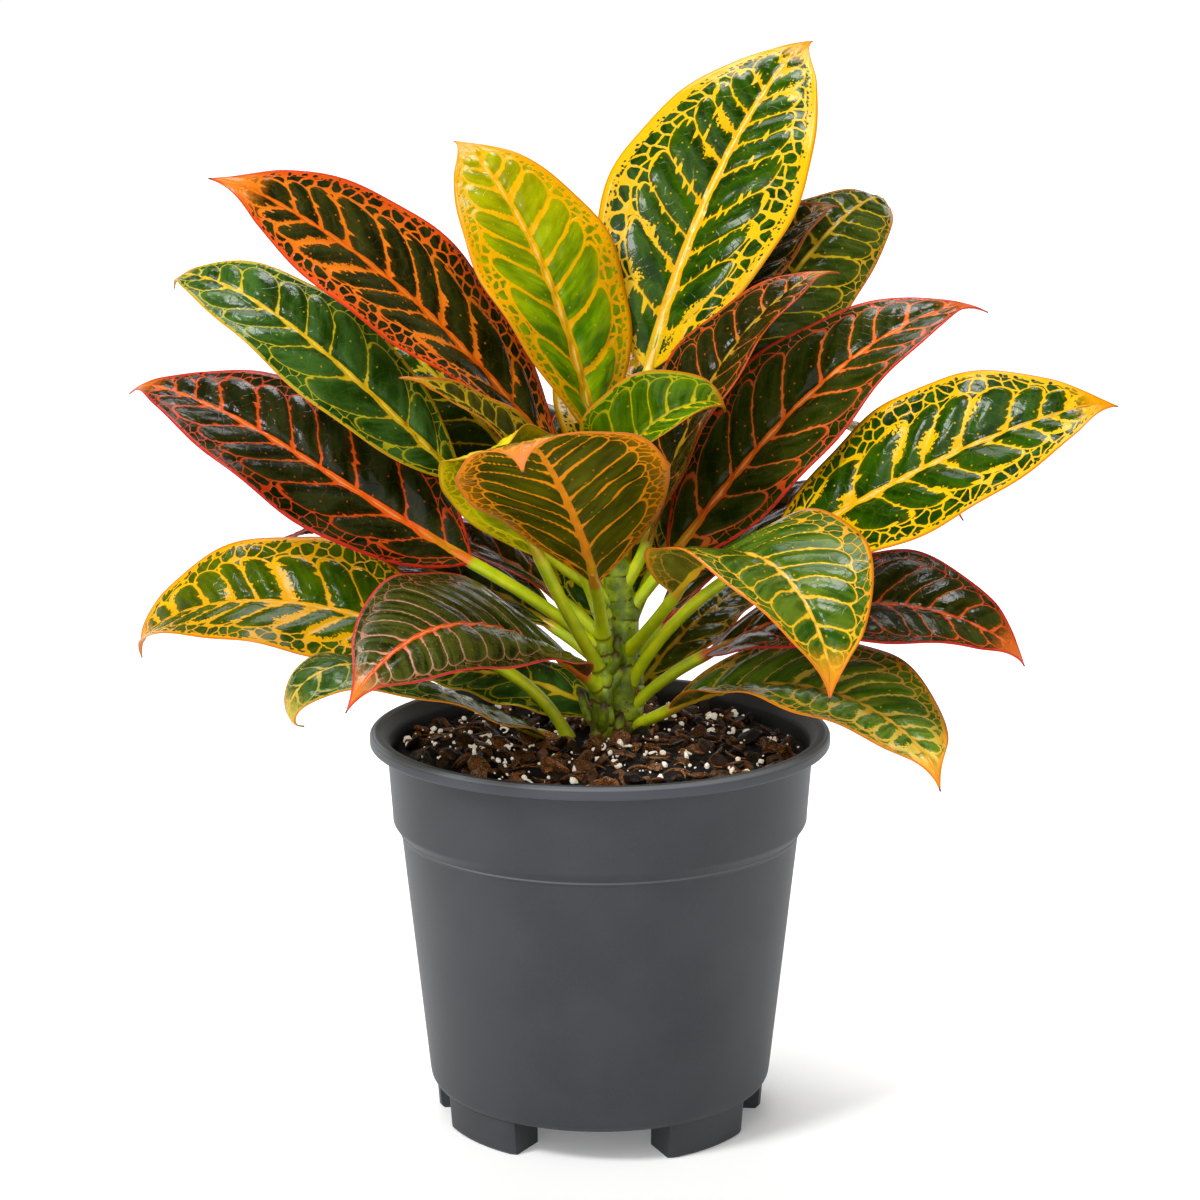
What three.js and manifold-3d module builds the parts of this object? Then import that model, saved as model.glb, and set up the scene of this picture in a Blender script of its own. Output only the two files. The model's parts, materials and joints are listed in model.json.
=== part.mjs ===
// A croton in a round nursery pot. Millimetres, +Z up, the feet stand on z = 0.
// The viewer of the front stands at -Y. Headings are degrees anticlockwise from +X, seen from above.
import * as THREE from 'three';
import Module from 'manifold-3d';

const wasm = await Module();
wasm.setup();

// ---------------------------------------------------------------- driving dimensions
const RIM_RADIUS = 85;
const POT_HEIGHT = 147;
const RIM_FACE = 4.5;
const WALL = 1.5;
const WALL_TOP_RADIUS = 78.7;
const BAND_FOOT_RADIUS = 76.8;
const BAND_FOOT_HEIGHT = 113.4;
const STEP_DEPTH = 3;
const STEP_DROP = 3.6;
const BASE_RADIUS = 64;
const FLOOR_THICKNESS = 2;
const FLOOR_FILLET = 3.5;
const POT_SIDES = 48;

const FOOT_HEIGHT = 13;
const FOOT_OUTER_RADIUS = 61;
const FOOT_INNER_RADIUS = 45;
const FOOT_SWEEP = 36;
const FOOT_HEADINGS = [-138.5, -47.5, 12, 67, 113, 167];
const DRAIN_RADIUS = 4.5;
const DRAIN_RING_RADIUS = 33;
const DRAIN_COUNT = 6;
const DRAIN_SIDES = 10;

const CLEARANCE = 0.3;
const SOIL_EDGE_HEIGHT = 139;
const SOIL_MOUND = 3.5;
const SOIL_RINGS = 10;
const SOIL_SIDES = 38;
const SOIL_RELIEF = 1.5;
const SOIL_SEED = 7;
const CHIP_COUNT = 20;
const CHIP_LENGTH = [3.5, 6.5];
const CHIP_WIDTH = [2.2, 3.8];
const CHIP_DEPTH = 1.7;
const CHIP_TILT = 0.9;
const CHIP_DISTANCE = [12, 70];

const MAIN_STEM = {
  path: [[7.5, 13, 128], [9, 12, 165], [8, 11, 190], [2, 10, 225], [0, 10, 234]],
  radii: [6.8, 6, 5.2, 4, 1.8],
};
const SIDE_SHOOT = {
  path: [[0, 3, 128], [0.8, 3, 158], [1.5, 3, 184], [1.6, 3, 192]],
  radii: [4.3, 3.8, 3.1, 1.5],
};
const STEM_SIDES = 12;

const BLADE_THICKNESS = 0.9;
const KEEL_DEPTH = 1.5;
const TIP_HOOK = 24;
const TIP_HOOK_STEPS = 4;
const MARGIN_WAVE = 1.1;
const MARGIN_WAVES = 3.5;
const STALK_SIDES = 6;
const STALK_RADIUS = 2.2;
const STALK_SWELLING = 0.8;
const STALK_SWELLING_LENGTH = 7;
const ROOT_LENGTH = 8;

// ---------------------------------------------------------------- seeded random numbers
function makeRandom(seed) {
  let state = seed;
  return () => {
    state = (state * 1664525 + 1013904223) % 4294967296;
    return state / 4294967296;
  };
}

// ---------------------------------------------------------------- solids from points
const radians = (degrees) => degrees * Math.PI / 180;

const polar = (radius, heading, height) => new THREE.Vector3(
  radius * Math.cos(radians(heading)), radius * Math.sin(radians(heading)), height);

function solidOf(points, faces) {
  const mesh = new wasm.Mesh({
    numProp: 3,
    vertProperties: Float32Array.from(points.flatMap((p) => [p.x, p.y, p.z])),
    triVerts: Uint32Array.from(faces.flat()),
  });
  return new wasm.Manifold(mesh);
}

// Rings of equal length, counter-clockwise seen from the last ring's side, closed by flat ends.
function loft(rings) {
  const n = rings[0].length;
  const points = rings.flat();
  const faces = [];
  for (let i = 0; i + 1 < rings.length; i += 1) {
    for (let j = 0; j < n; j += 1) {
      const a = i * n + j;
      const b = i * n + (j + 1) % n;
      faces.push([a, b, b + n], [a, b + n, a + n]);
    }
  }
  const last = (rings.length - 1) * n;
  for (let j = 1; j + 1 < n; j += 1) {
    faces.push([0, j + 1, j], [last, last + j, last + j + 1]);
  }
  return solidOf(points, faces);
}

// A closed outline of [radius, height] pairs turned about Z. It starts and ends on the axis.
function revolve(outline, sides) {
  const points = [];
  const rows = outline.map(([radius, height]) => {
    const count = radius > 0 ? sides : 1;
    const row = [];
    for (let j = 0; j < count; j += 1) {
      row.push(points.length);
      points.push(polar(radius, 360 * j / sides, height));
    }
    return row;
  });
  const faces = [];
  for (let i = 0; i + 1 < rows.length; i += 1) {
    for (let j = 0; j < sides; j += 1) {
      const k = (j + 1) % sides;
      const [a, b] = [rows[i][j % rows[i].length], rows[i][k % rows[i].length]];
      const [c, d] = [rows[i + 1][j % rows[i + 1].length], rows[i + 1][k % rows[i + 1].length]];
      if (a !== b) faces.push([a, b, d]);
      if (c !== d) faces.push([a, d, c]);
    }
  }
  return solidOf(points, faces);
}

// Two sheets of points with the same rows and columns, split into triangles alike and stitched.
function slab(top, bottom) {
  const rows = top.length;
  const columns = top[0].length;
  const points = [...top.flat(), ...bottom.flat()];
  const below = rows * columns;
  const faces = [];
  const at = (i, j) => i * columns + j;
  for (let i = 0; i + 1 < rows; i += 1) {
    for (let j = 0; j + 1 < columns; j += 1) {
      const [a, b, c, d] = [at(i, j), at(i + 1, j), at(i + 1, j + 1), at(i, j + 1)];
      faces.push([a, c, b], [a, d, c]);
      faces.push([a + below, b + below, c + below], [a + below, c + below, d + below]);
    }
  }
  const border = [];
  for (let i = 0; i + 1 < rows; i += 1) border.push([at(i, 0), at(i + 1, 0)]);
  for (let j = 0; j + 1 < columns; j += 1) border.push([at(rows - 1, j), at(rows - 1, j + 1)]);
  for (let i = rows - 1; i > 0; i -= 1) border.push([at(i, columns - 1), at(i - 1, columns - 1)]);
  for (let j = columns - 1; j > 0; j -= 1) border.push([at(0, j), at(0, j - 1)]);
  for (const [a, b] of border) faces.push([a, b, b + below], [a, b + below, a + below]);
  return solidOf(points, faces);
}

// The largest of a solid's separate bodies: cutting can leave a crumb beside the piece itself.
function largestBody(solid) {
  const bodies = solid.decompose();
  return bodies.reduce((best, body) => (body.volume() > best.volume() ? body : best));
}

function node(name, solid, colour, roughness) {
  const { vertProperties, triVerts } = largestBody(solid).getMesh();
  const geometry = new THREE.BufferGeometry();
  geometry.setAttribute('position', new THREE.BufferAttribute(vertProperties, 3));
  geometry.setIndex(new THREE.BufferAttribute(triVerts, 1));
  geometry.computeVertexNormals();
  const material = new THREE.MeshStandardMaterial({ color: colour, roughness, metalness: 0 });
  const mesh = new THREE.Mesh(geometry, material);
  mesh.name = name;
  return mesh;
}

// ---------------------------------------------------------------- pot
const wallSlope = (WALL_TOP_RADIUS - BAND_FOOT_RADIUS) / (POT_HEIGHT - RIM_FACE - BAND_FOOT_HEIGHT);
const stepRadius = BAND_FOOT_RADIUS - STEP_DEPTH;
const stepHeight = BAND_FOOT_HEIGHT - STEP_DROP;
const floorTop = FOOT_HEIGHT + FLOOR_THICKNESS;

// The inside of the pot from the floor's centre up to the rim, grown inwards by `gap`.
function potInside(gap) {
  return [
    [0, floorTop + gap],
    [BASE_RADIUS - WALL - FLOOR_FILLET - gap, floorTop + gap],
    [BASE_RADIUS - WALL - gap, floorTop + FLOOR_FILLET + gap],
    [stepRadius - WALL - gap, stepHeight + 0.5],
    [BAND_FOOT_RADIUS - WALL - gap, BAND_FOOT_HEIGHT + 0.5],
  ];
}

function potBody() {
  const lipUnder = POT_HEIGHT - RIM_FACE;
  const outline = [
    [0, FOOT_HEIGHT],
    [BASE_RADIUS - 4, FOOT_HEIGHT],
    [BASE_RADIUS - 1.9, FOOT_HEIGHT + 0.5],
    [BASE_RADIUS - 0.5, FOOT_HEIGHT + 2],
    [BASE_RADIUS, FOOT_HEIGHT + 4.2],
    [stepRadius, stepHeight],
    [BAND_FOOT_RADIUS - 0.3, BAND_FOOT_HEIGHT - 0.4],
    [BAND_FOOT_RADIUS, BAND_FOOT_HEIGHT + 0.3],
    [WALL_TOP_RADIUS, lipUnder - 1],
    [WALL_TOP_RADIUS + 1, lipUnder],
    [RIM_RADIUS - 0.8, lipUnder],
    [RIM_RADIUS, lipUnder + 0.9],
    [RIM_RADIUS, POT_HEIGHT - 0.9],
    [RIM_RADIUS - 0.9, POT_HEIGHT],
    [RIM_RADIUS - 4.4, POT_HEIGHT],
    [RIM_RADIUS - 5.3, POT_HEIGHT - 0.6],
    [WALL_TOP_RADIUS - WALL + 0.6, lipUnder + 1.4],
    [WALL_TOP_RADIUS - WALL, lipUnder - 0.6],
    ...potInside(0).reverse(),
  ];
  return revolve(outline, POT_SIDES);
}

// One foot: a slice of a low ring, a little narrower at the ground, sunk into the floor.
function foot(heading) {
  const sunk = FOOT_HEIGHT + 1;
  const section = [
    [FOOT_INNER_RADIUS, 0],
    [FOOT_OUTER_RADIUS - 1.2, 0],
    [FOOT_OUTER_RADIUS - 0.2, 1],
    [BASE_RADIUS - 2.2, sunk],
    [FOOT_INNER_RADIUS, sunk],
  ];
  const slices = 6;
  const rings = [];
  for (let i = 0; i <= slices; i += 1) {
    const turn = heading + FOOT_SWEEP * (0.5 - i / slices);
    const inset = i === 0 || i === slices ? 0.8 : 0;
    rings.push(section.map(([radius, height]) => polar(
      radius > FOOT_INNER_RADIUS ? radius - inset : radius, turn, height)));
  }
  return loft(rings);
}

function drainHole(index) {
  const centre = polar(DRAIN_RING_RADIUS, 360 * index / DRAIN_COUNT, 0);
  const ring = (height) => {
    const points = [];
    for (let j = 0; j < DRAIN_SIDES; j += 1) {
      points.push(polar(DRAIN_RADIUS, 360 * j / DRAIN_SIDES, height).add(centre));
    }
    return points;
  };
  return loft([ring(FOOT_HEIGHT - 1), ring(floorTop + 1)]);
}

function buildPot() {
  let pot = potBody();
  for (const heading of FOOT_HEADINGS) pot = pot.add(foot(heading));
  for (let i = 0; i < DRAIN_COUNT; i += 1) pot = pot.subtract(drainHole(i));
  return pot;
}

// ---------------------------------------------------------------- stems
// The stem's centre at a height, on straight lines between the points of its path.
function stemCentre(stem, height) {
  const { path } = stem;
  let i = 0;
  while (i + 2 < path.length && height > path[i + 1][2]) i += 1;
  const [a, b] = [path[i], path[i + 1]];
  const share = (height - a[2]) / (b[2] - a[2]);
  return new THREE.Vector3(a[0] + (b[0] - a[0]) * share, a[1] + (b[1] - a[1]) * share, height);
}

function buildStem(stem, growth) {
  const rings = stem.path.map(([x, y, z], i) => {
    const ring = [];
    const height = i === 0 ? z - growth : z + (i === stem.path.length - 1 ? growth : 0);
    for (let j = 0; j < STEM_SIDES; j += 1) {
      const point = polar(stem.radii[i] + growth, 360 * j / STEM_SIDES, height);
      ring.push(point.add(new THREE.Vector3(x, y, 0)));
    }
    return ring;
  });
  return loft(rings);
}

// ---------------------------------------------------------------- leaves
// A leaf's frames run from its foot on the stem along the stalk and the midrib to the tip. In a
// frame, `along` points to the tip, `side` to the leaf's right seen from its foot, `up` out of it.
const STALK_STEPS = 12;
const BLADE_STEPS = 40;
const BLADE_ROWS = [0, 3, 7, 11, 15, 19, 23, 27, 30, 33, 36, 38, 40];
const BLADE_COLUMNS = [-1, -0.55, 0, 0.55, 1];

function turnPair(a, b, degrees) {
  const [cos, sin] = [Math.cos(radians(degrees)), Math.sin(radians(degrees))];
  const first = a.clone().multiplyScalar(cos).addScaledVector(b, -sin);
  const second = b.clone().multiplyScalar(cos).addScaledVector(a, sin);
  return [first, second];
}

function leafFrames(leaf) {
  const [azimuth, rise] = [radians(leaf.heading), radians(leaf.rise)];
  let along = new THREE.Vector3(
    Math.cos(rise) * Math.cos(azimuth), Math.cos(rise) * Math.sin(azimuth), Math.sin(rise));
  let side = new THREE.Vector3(Math.sin(azimuth), -Math.cos(azimuth), 0);
  let up = side.clone().cross(along);
  const place = leaf.foot.clone();
  const frames = [{ place: place.clone(), along, side, up }];
  const advance = (length, bend, yaw, roll) => {
    [along, up] = turnPair(along, up, bend);
    [side, along] = turnPair(side, along, yaw);
    [side, up] = turnPair(side, up, roll);
    place.addScaledVector(along, length);
    frames.push({ place: place.clone(), along, side, up });
  };
  for (let i = 0; i < STALK_STEPS; i += 1) {
    advance(leaf.stalk / STALK_STEPS, leaf.bend / STALK_STEPS, 0, leaf.roll / STALK_STEPS);
  }
  for (let i = 0; i < BLADE_STEPS; i += 1) {
    const [from, to] = [i / BLADE_STEPS, (i + 1) / BLADE_STEPS];
    const hook = i >= BLADE_STEPS - TIP_HOOK_STEPS ? TIP_HOOK / TIP_HOOK_STEPS : 0;
    const droop = leaf.droop * (to ** leaf.late - from ** leaf.late) + hook;
    advance(leaf.length / BLADE_STEPS, droop, leaf.sweep / BLADE_STEPS, leaf.twist / BLADE_STEPS);
  }
  return frames;
}

// Half the blade's width as a share of its widest, from the blade's base (0) to its tip (1).
function outlineShare(u, widest) {
  if (u < widest) return (1 - (1 - u / widest) ** 2) ** 0.8;
  const toTip = (u - widest) / (1 - widest);
  const drawnOut = 1 - 0.5 * THREE.MathUtils.smoothstep(toTip, 0.7, 1);
  return (1 - toTip ** 1.9) ** 1.15 * drawnOut;
}

// A point of the blade's middle sheet and the direction square to the sheet there.
function bladePoint(leaf, frame, u, t) {
  const reach = Math.abs(t);
  const hand = Math.sign(t);
  const halfWidth = Math.max(leaf.width / 2 * outlineShare(u, leaf.widest), 0.7 + 0.6 * (1 - u));
  const fold = leaf.fold + (leaf.tipFold - leaf.fold) * u;
  const mean = radians(fold - leaf.cup * reach / 2);
  const edge = radians(fold - leaf.cup * reach);
  const wave = MARGIN_WAVE * Math.sin(2 * Math.PI * MARGIN_WAVES * u + 1.3 * hand + leaf.phase)
    * reach ** 2 * Math.sin(Math.PI * u);
  const place = frame.place.clone()
    .addScaledVector(frame.side, halfWidth * t * Math.cos(mean))
    .addScaledVector(frame.up, halfWidth * reach * Math.sin(mean) + wave);
  const square = frame.up.clone().multiplyScalar(Math.cos(edge))
    .addScaledVector(frame.side, -hand * Math.sin(edge));
  return { place, square };
}

function bladeSolid(leaf, frames) {
  const [top, bottom] = [[], []];
  for (const step of BLADE_ROWS) {
    const u = step / BLADE_STEPS;
    const frame = frames[STALK_STEPS + step];
    const [topRow, bottomRow] = [[], []];
    for (const t of BLADE_COLUMNS) {
      const { place, square } = bladePoint(leaf, frame, u, t);
      const keel = t === 0 ? KEEL_DEPTH * (1 - u) : 0;
      topRow.push(place.clone().addScaledVector(square, BLADE_THICKNESS / 2));
      bottomRow.push(place.clone().addScaledVector(square, -BLADE_THICKNESS / 2 - keel));
    }
    top.push(topRow);
    bottom.push(bottomRow);
  }
  return slab(top, bottom);
}

function stalkSolid(leaf, frames, growth) {
  const ring = (frame, radius) => {
    const points = [];
    for (let j = 0; j < STALK_SIDES; j += 1) {
      const turn = 2 * Math.PI * (j + 0.5) / STALK_SIDES;
      points.push(frame.place.clone()
        .addScaledVector(frame.side, -(radius + growth) * Math.cos(turn))
        .addScaledVector(frame.up, (radius + growth) * Math.sin(turn)));
    }
    return points;
  };
  const rings = [];
  if (leaf.stem === null) {
    const first = frames[0];
    const root = first.place.clone().addScaledVector(first.along, -ROOT_LENGTH - growth);
    rings.push(ring({ ...first, place: root }, STALK_RADIUS));
  }
  const { stalk } = leaf;
  for (const step of [0, 2, 4, 7, 10, 12]) {
    const distance = stalk * step / STALK_STEPS;
    const swelling = STALK_SWELLING * Math.exp(-((distance / STALK_SWELLING_LENGTH) ** 2));
    rings.push(ring(frames[step], STALK_RADIUS + swelling));
  }
  rings.push(ring(frames[STALK_STEPS + 2], 0.9));
  return loft(rings);
}

// A leaf: `at` is the height of its foot on the stem, `rise` the stalk's angle above level, `bend`
// and `droop` how far stalk and blade lean over, `late` how much of the droop comes near the tip,
// `sweep` the midrib's turn to the right, `roll` and `twist` the turns about it, `fold` and `cup`
// the V and the arch of the blade across. Angles are degrees.
function leaf(name, colour, stem, shape) {
  const foot = stem === null
    ? new THREE.Vector3(shape.root[0], shape.root[1], shape.at)
    : stemCentre(stem, shape.at);
  return { name, colour, stem, foot, ...shape };
}

const LEAVES = [
  leaf('leaf_top_right', '#b8a81e', MAIN_STEM, {
    at: 221.4, heading: 56, rise: 61.6, stalk: 60.9, bend: -2, roll: 10.4,
    length: 163.1, width: 77.4, widest: 0.42, droop: 31.7, late: 1.6, sweep: 11.8, twist: 4.6,
    fold: 23.6, tipFold: 11.3, cup: 15.3, phase: 0,
  }),
  leaf('leaf_top_left', '#a9b41f', MAIN_STEM, {
    at: 227.3, heading: 127, rise: 85.3, stalk: 24.2, bend: 14.3, roll: 13.1,
    length: 134.9, width: 62, widest: 0.48, droop: 42.5, late: 2.2, sweep: -11.5, twist: -32,
    fold: 24.2, tipFold: 11.2, cup: 17, phase: 1,
  }),
  leaf('leaf_left_upper', '#b8451c', MAIN_STEM, {
    at: 206, heading: 184, rise: 71, stalk: 43, bend: 18, roll: -22,
    length: 166, width: 66, widest: 0.53, droop: 22, late: 1.8, sweep: -22, twist: -26,
    fold: 26, tipFold: 11, cup: 15, phase: 2,
  }),
  leaf('leaf_left_green', '#3f5a1e', MAIN_STEM, {
    at: 190, heading: 185, rise: 34, stalk: 77, bend: -11, roll: -52,
    length: 156, width: 43, widest: 0.42, droop: 86, late: 2, sweep: 19, twist: -1,
    fold: 17, tipFold: 17, cup: 17, phase: 3,
  }),
  leaf('leaf_left_red', '#5a2419', SIDE_SHOOT, {
    at: 174.7, heading: 185.6, rise: 43.3, stalk: 59.8, bend: 15.6, roll: -52.9,
    length: 157.2, width: 62.7, widest: 0.38, droop: 51, late: 2.6, sweep: 17.7, twist: 15.8,
    fold: 24.6, tipFold: 16, cup: 13.5, phase: 4,
  }),
  leaf('leaf_left_yellow', '#8a8f1e', null, {
    at: 138, root: [-10, 4], heading: 197, rise: 72, stalk: 56, bend: 54, roll: -48,
    length: 151, width: 59, widest: 0.41, droop: 80, late: 1.8, sweep: -5, twist: -3,
    fold: 11, tipFold: 33, cup: 12, phase: 5,
  }),
  leaf('leaf_front_left', '#54301f', SIDE_SHOOT, {
    at: 159.9, heading: 226, rise: 45.4, stalk: 11.9, bend: 11.3, roll: -17.2,
    length: 156.8, width: 63, widest: 0.39, droop: 50.4, late: 1.6, sweep: -44.2, twist: -5.3,
    fold: 28.4, tipFold: 0.7, cup: 18, phase: 0,
  }),
  leaf('leaf_front_centre', '#8a6a1e', SIDE_SHOOT, {
    at: 178.4, heading: 261.4, rise: 62.5, stalk: 35, bend: 23.4, roll: 5.3,
    length: 133.1, width: 73.6, widest: 0.5, droop: 90.3, late: 8, sweep: 13, twist: 6.4,
    fold: 33.8, tipFold: 2.4, cup: 15.4, phase: 1,
  }),
  leaf('leaf_young_centre', '#5c9420', MAIN_STEM, {
    at: 220, heading: -64, rise: 24, stalk: 30, bend: -34, roll: 98,
    length: 71, width: 41, widest: 0.4, droop: 155, late: 1.8, sweep: -1, twist: -10,
    fold: 41, tipFold: 32, cup: -8, phase: 2,
  }),
  leaf('leaf_right_upper', '#3f4a1c', MAIN_STEM, {
    at: 206.7, heading: 31.4, rise: 55.5, stalk: 70.6, bend: 3.5, roll: 40.9,
    length: 153.8, width: 49.8, widest: 0.37, droop: 85.4, late: 2.1, sweep: 4.9, twist: 5.5,
    fold: 5.3, tipFold: 0.1, cup: 25.9, phase: 3,
  }),
  leaf('leaf_right_dark', '#3a351a', MAIN_STEM, {
    at: 197, heading: -15, rise: 46, stalk: 22, bend: -25, roll: 36,
    length: 131, width: 52, widest: 0.4, droop: 65, late: 2.1, sweep: -15, twist: 4,
    fold: 27, tipFold: 16, cup: 12, phase: 4,
  }),
  leaf('leaf_right_red', '#6a2a18', MAIN_STEM, {
    at: 186, heading: -10, rise: 49, stalk: 28, bend: -5, roll: 60,
    length: 159, width: 58, widest: 0.46, droop: 60, late: 2.1, sweep: -2, twist: -30,
    fold: 15, tipFold: 21, cup: 16, phase: 5,
  }),
  leaf('leaf_right_yellow', '#8f921e', MAIN_STEM, {
    at: 155, heading: -41, rise: 63, stalk: 85, bend: 35, roll: 60,
    length: 141, width: 62, widest: 0.52, droop: 38, late: 2.2, sweep: -7, twist: 5,
    fold: 12, tipFold: 25, cup: 15, phase: 0,
  }),
  leaf('leaf_front_right', '#7a7f1e', MAIN_STEM, {
    at: 172, heading: -61, rise: 33, stalk: 49, bend: -9, roll: 10,
    length: 135, width: 68, widest: 0.49, droop: 103, late: 1.2, sweep: 16, twist: -13,
    fold: 22, tipFold: 21, cup: 11, phase: 1,
  }),
  leaf('leaf_right_low', '#4e2018', MAIN_STEM, {
    at: 148, heading: -27, rise: 49, stalk: 43, bend: 19, roll: 17,
    length: 131, width: 61, widest: 0.47, droop: 75, late: 1.8, sweep: 11, twist: 15,
    fold: 15, tipFold: 19, cup: 17, phase: 2,
  }),
  leaf('leaf_front_low_right', '#6f7a1e', MAIN_STEM, {
    at: 143, heading: -32, rise: 23, stalk: 24, bend: -7, roll: 15,
    length: 152, width: 62, widest: 0.44, droop: 46, late: 0.9, sweep: 47, twist: -23,
    fold: 36, tipFold: 3, cup: 15, phase: 3,
  }),
  leaf('leaf_low_left', '#4a5a30', null, {
    at: 139, root: [-19.7, 8], heading: 235, rise: 55, stalk: 6, bend: 28, roll: -5,
    length: 145, width: 59, widest: 0.43, droop: 167, late: 6.4, sweep: 14, twist: -12,
    fold: 12, tipFold: 3, cup: 28, phase: 4,
  }),
  leaf('leaf_behind_front', '#a8ac20', SIDE_SHOOT, {
    at: 166.8, heading: 229.4, rise: 50.2, stalk: 59.5, bend: -9.4, roll: 32.3,
    length: 80.1, width: 46.6, widest: 0.42, droop: 113.4, late: 2.7, sweep: -10.4, twist: 24.3,
    fold: 23.2, tipFold: 13.7, cup: 11.5, phase: 5,
  }),
  leaf('leaf_behind_left', '#4a6a1e', MAIN_STEM, {
    at: 193.9, heading: 142.7, rise: 49.5, stalk: 36.6, bend: 8.5, roll: -15.1,
    length: 130.1, width: 56, widest: 0.43, droop: 7.5, late: 1.5, sweep: -8.4, twist: -16.7,
    fold: 9.5, tipFold: 7.7, cup: 23.3, phase: 0,
  }),
  leaf('leaf_left_narrow', '#5a5a22', SIDE_SHOOT, {
    at: 188, heading: 216, rise: 58, stalk: 30.2, bend: -11, roll: -52.1,
    length: 98, width: 23.3, widest: 0.42, droop: 50.3, late: 1.1, sweep: -13.5, twist: 3.7,
    fold: 36.7, tipFold: 31.8, cup: 19.2, phase: 1,
  }),
  leaf('leaf_behind_top_left', '#8a4a1e', MAIN_STEM, {
    at: 213.3, heading: 133.7, rise: 68.3, stalk: 40.8, bend: 25.2, roll: 33.8,
    length: 106.6, width: 53.2, widest: 0.42, droop: 0.7, late: 1.4, sweep: 13.9, twist: 0,
    fold: 6.8, tipFold: 19.2, cup: 25.6, phase: 2,
  }),
  leaf('leaf_behind_top_right', '#3f3a1c', MAIN_STEM, {
    at: 214.1, heading: 37.2, rise: 58.2, stalk: 57, bend: -0.2, roll: 16.1,
    length: 115.4, width: 36.9, widest: 0.43, droop: 48.2, late: 1.8, sweep: 6.6, twist: 2.4,
    fold: 32, tipFold: 31.2, cup: 21.9, phase: 3,
  }),
  leaf('leaf_back_upper', '#3f5a1e', MAIN_STEM, {
    at: 195, heading: 86.7, rise: 71, stalk: 36, bend: 18, roll: 0,
    length: 126, width: 57, widest: 0.42, droop: 52.5, late: 1.5, sweep: 0, twist: 0,
    fold: 16, tipFold: 14, cup: 19.5, phase: 4,
  }),
  leaf('leaf_back_left', '#6a2a18', MAIN_STEM, {
    at: 180, heading: 112.7, rise: 59.1, stalk: 52, bend: 17, roll: 13,
    length: 137, width: 56, widest: 0.42, droop: 112, late: 1.7, sweep: -14.2, twist: 6,
    fold: 16, tipFold: 14, cup: 18, phase: 5,
  }),
  leaf('leaf_back_right', '#3f4a1c', MAIN_STEM, {
    at: 175, heading: 39, rise: 69, stalk: 38, bend: 17, roll: 3,
    length: 142, width: 56, widest: 0.42, droop: 91, late: 1.3, sweep: -3, twist: 2,
    fold: 16, tipFold: 14, cup: 18, phase: 0,
  }),
  leaf('leaf_back_low_left', '#5a2419', MAIN_STEM, {
    at: 165.2, heading: 154.5, rise: 58.8, stalk: 36, bend: 26.5, roll: 5.2,
    length: 141.6, width: 51.9, widest: 0.42, droop: 71.9, late: 1.4, sweep: -6.8, twist: 0.7,
    fold: 18.8, tipFold: 13, cup: 18.1, phase: 1,
  }),
  leaf('leaf_back_low', '#3f5a1e', MAIN_STEM, {
    at: 161.3, heading: 86, rise: 75.5, stalk: 28, bend: 18.2, roll: 1,
    length: 128.3, width: 54.3, widest: 0.42, droop: 118.4, late: 1.4, sweep: -1, twist: 6.5,
    fold: 17.9, tipFold: 13.7, cup: 17.9, phase: 2,
  }),
  leaf('leaf_back_far_right', '#4e2018', MAIN_STEM, {
    at: 160.9, heading: 16.8, rise: 62.6, stalk: 25.6, bend: 10.3, roll: 0.1,
    length: 142.6, width: 53.6, widest: 0.42, droop: 84.4, late: 1.4, sweep: -3.2, twist: -8.3,
    fold: 16, tipFold: 13.8, cup: 20, phase: 3,
  }),
  leaf('leaf_back_far_left', '#4a5a20', MAIN_STEM, {
    at: 158, heading: 157, rise: 49.8, stalk: 35.5, bend: 22.4, roll: -6.8,
    length: 134.1, width: 54.3, widest: 0.42, droop: 77.5, late: 1.4, sweep: -1.7, twist: 1.9,
    fold: 16, tipFold: 14, cup: 18.3, phase: 4,
  }),
  leaf('leaf_inner_left', '#3f5a1e', MAIN_STEM, {
    at: 157.3, heading: 109.6, rise: 55.8, stalk: 11, bend: -2, roll: 0.7,
    length: 80.8, width: 30, widest: 0.42, droop: 48.4, late: 1.4, sweep: -10.9, twist: -1.5,
    fold: 18.9, tipFold: 6.5, cup: 18.3, phase: 5,
  }),
  leaf('leaf_inner_right', '#3f4a1c', MAIN_STEM, {
    at: 148.5, heading: 46.7, rise: 56.4, stalk: 10.4, bend: 20.8, roll: 14.7,
    length: 92.4, width: 29.4, widest: 0.42, droop: 35.7, late: 1.4, sweep: 8.1, twist: -5.6,
    fold: 15.6, tipFold: 7, cup: 15.4, phase: 0,
  }),
  leaf('leaf_inner_low', '#3f5a1e', MAIN_STEM, {
    at: 144.1, heading: 175.8, rise: 43.7, stalk: 7.4, bend: 16.6, roll: -26.5,
    length: 78.6, width: 31.6, widest: 0.42, droop: 57.6, late: 1.4, sweep: 1, twist: -6.8,
    fold: 9.5, tipFold: 12.4, cup: 21.5, phase: 1,
  }),
];

// ---------------------------------------------------------------- potting mix
function moundHeight(distance) {
  const share = Math.min(distance / BAND_FOOT_RADIUS, 1);
  return SOIL_EDGE_HEIGHT + SOIL_MOUND * (1 - share ** 2);
}

function soilHeight(x, y, random) {
  const swell = 0.7 * Math.sin(x / 9 + 1) * Math.cos(y / 11);
  return moundHeight(Math.hypot(x, y)) + swell + SOIL_RELIEF * (random() - 0.5);
}

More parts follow.
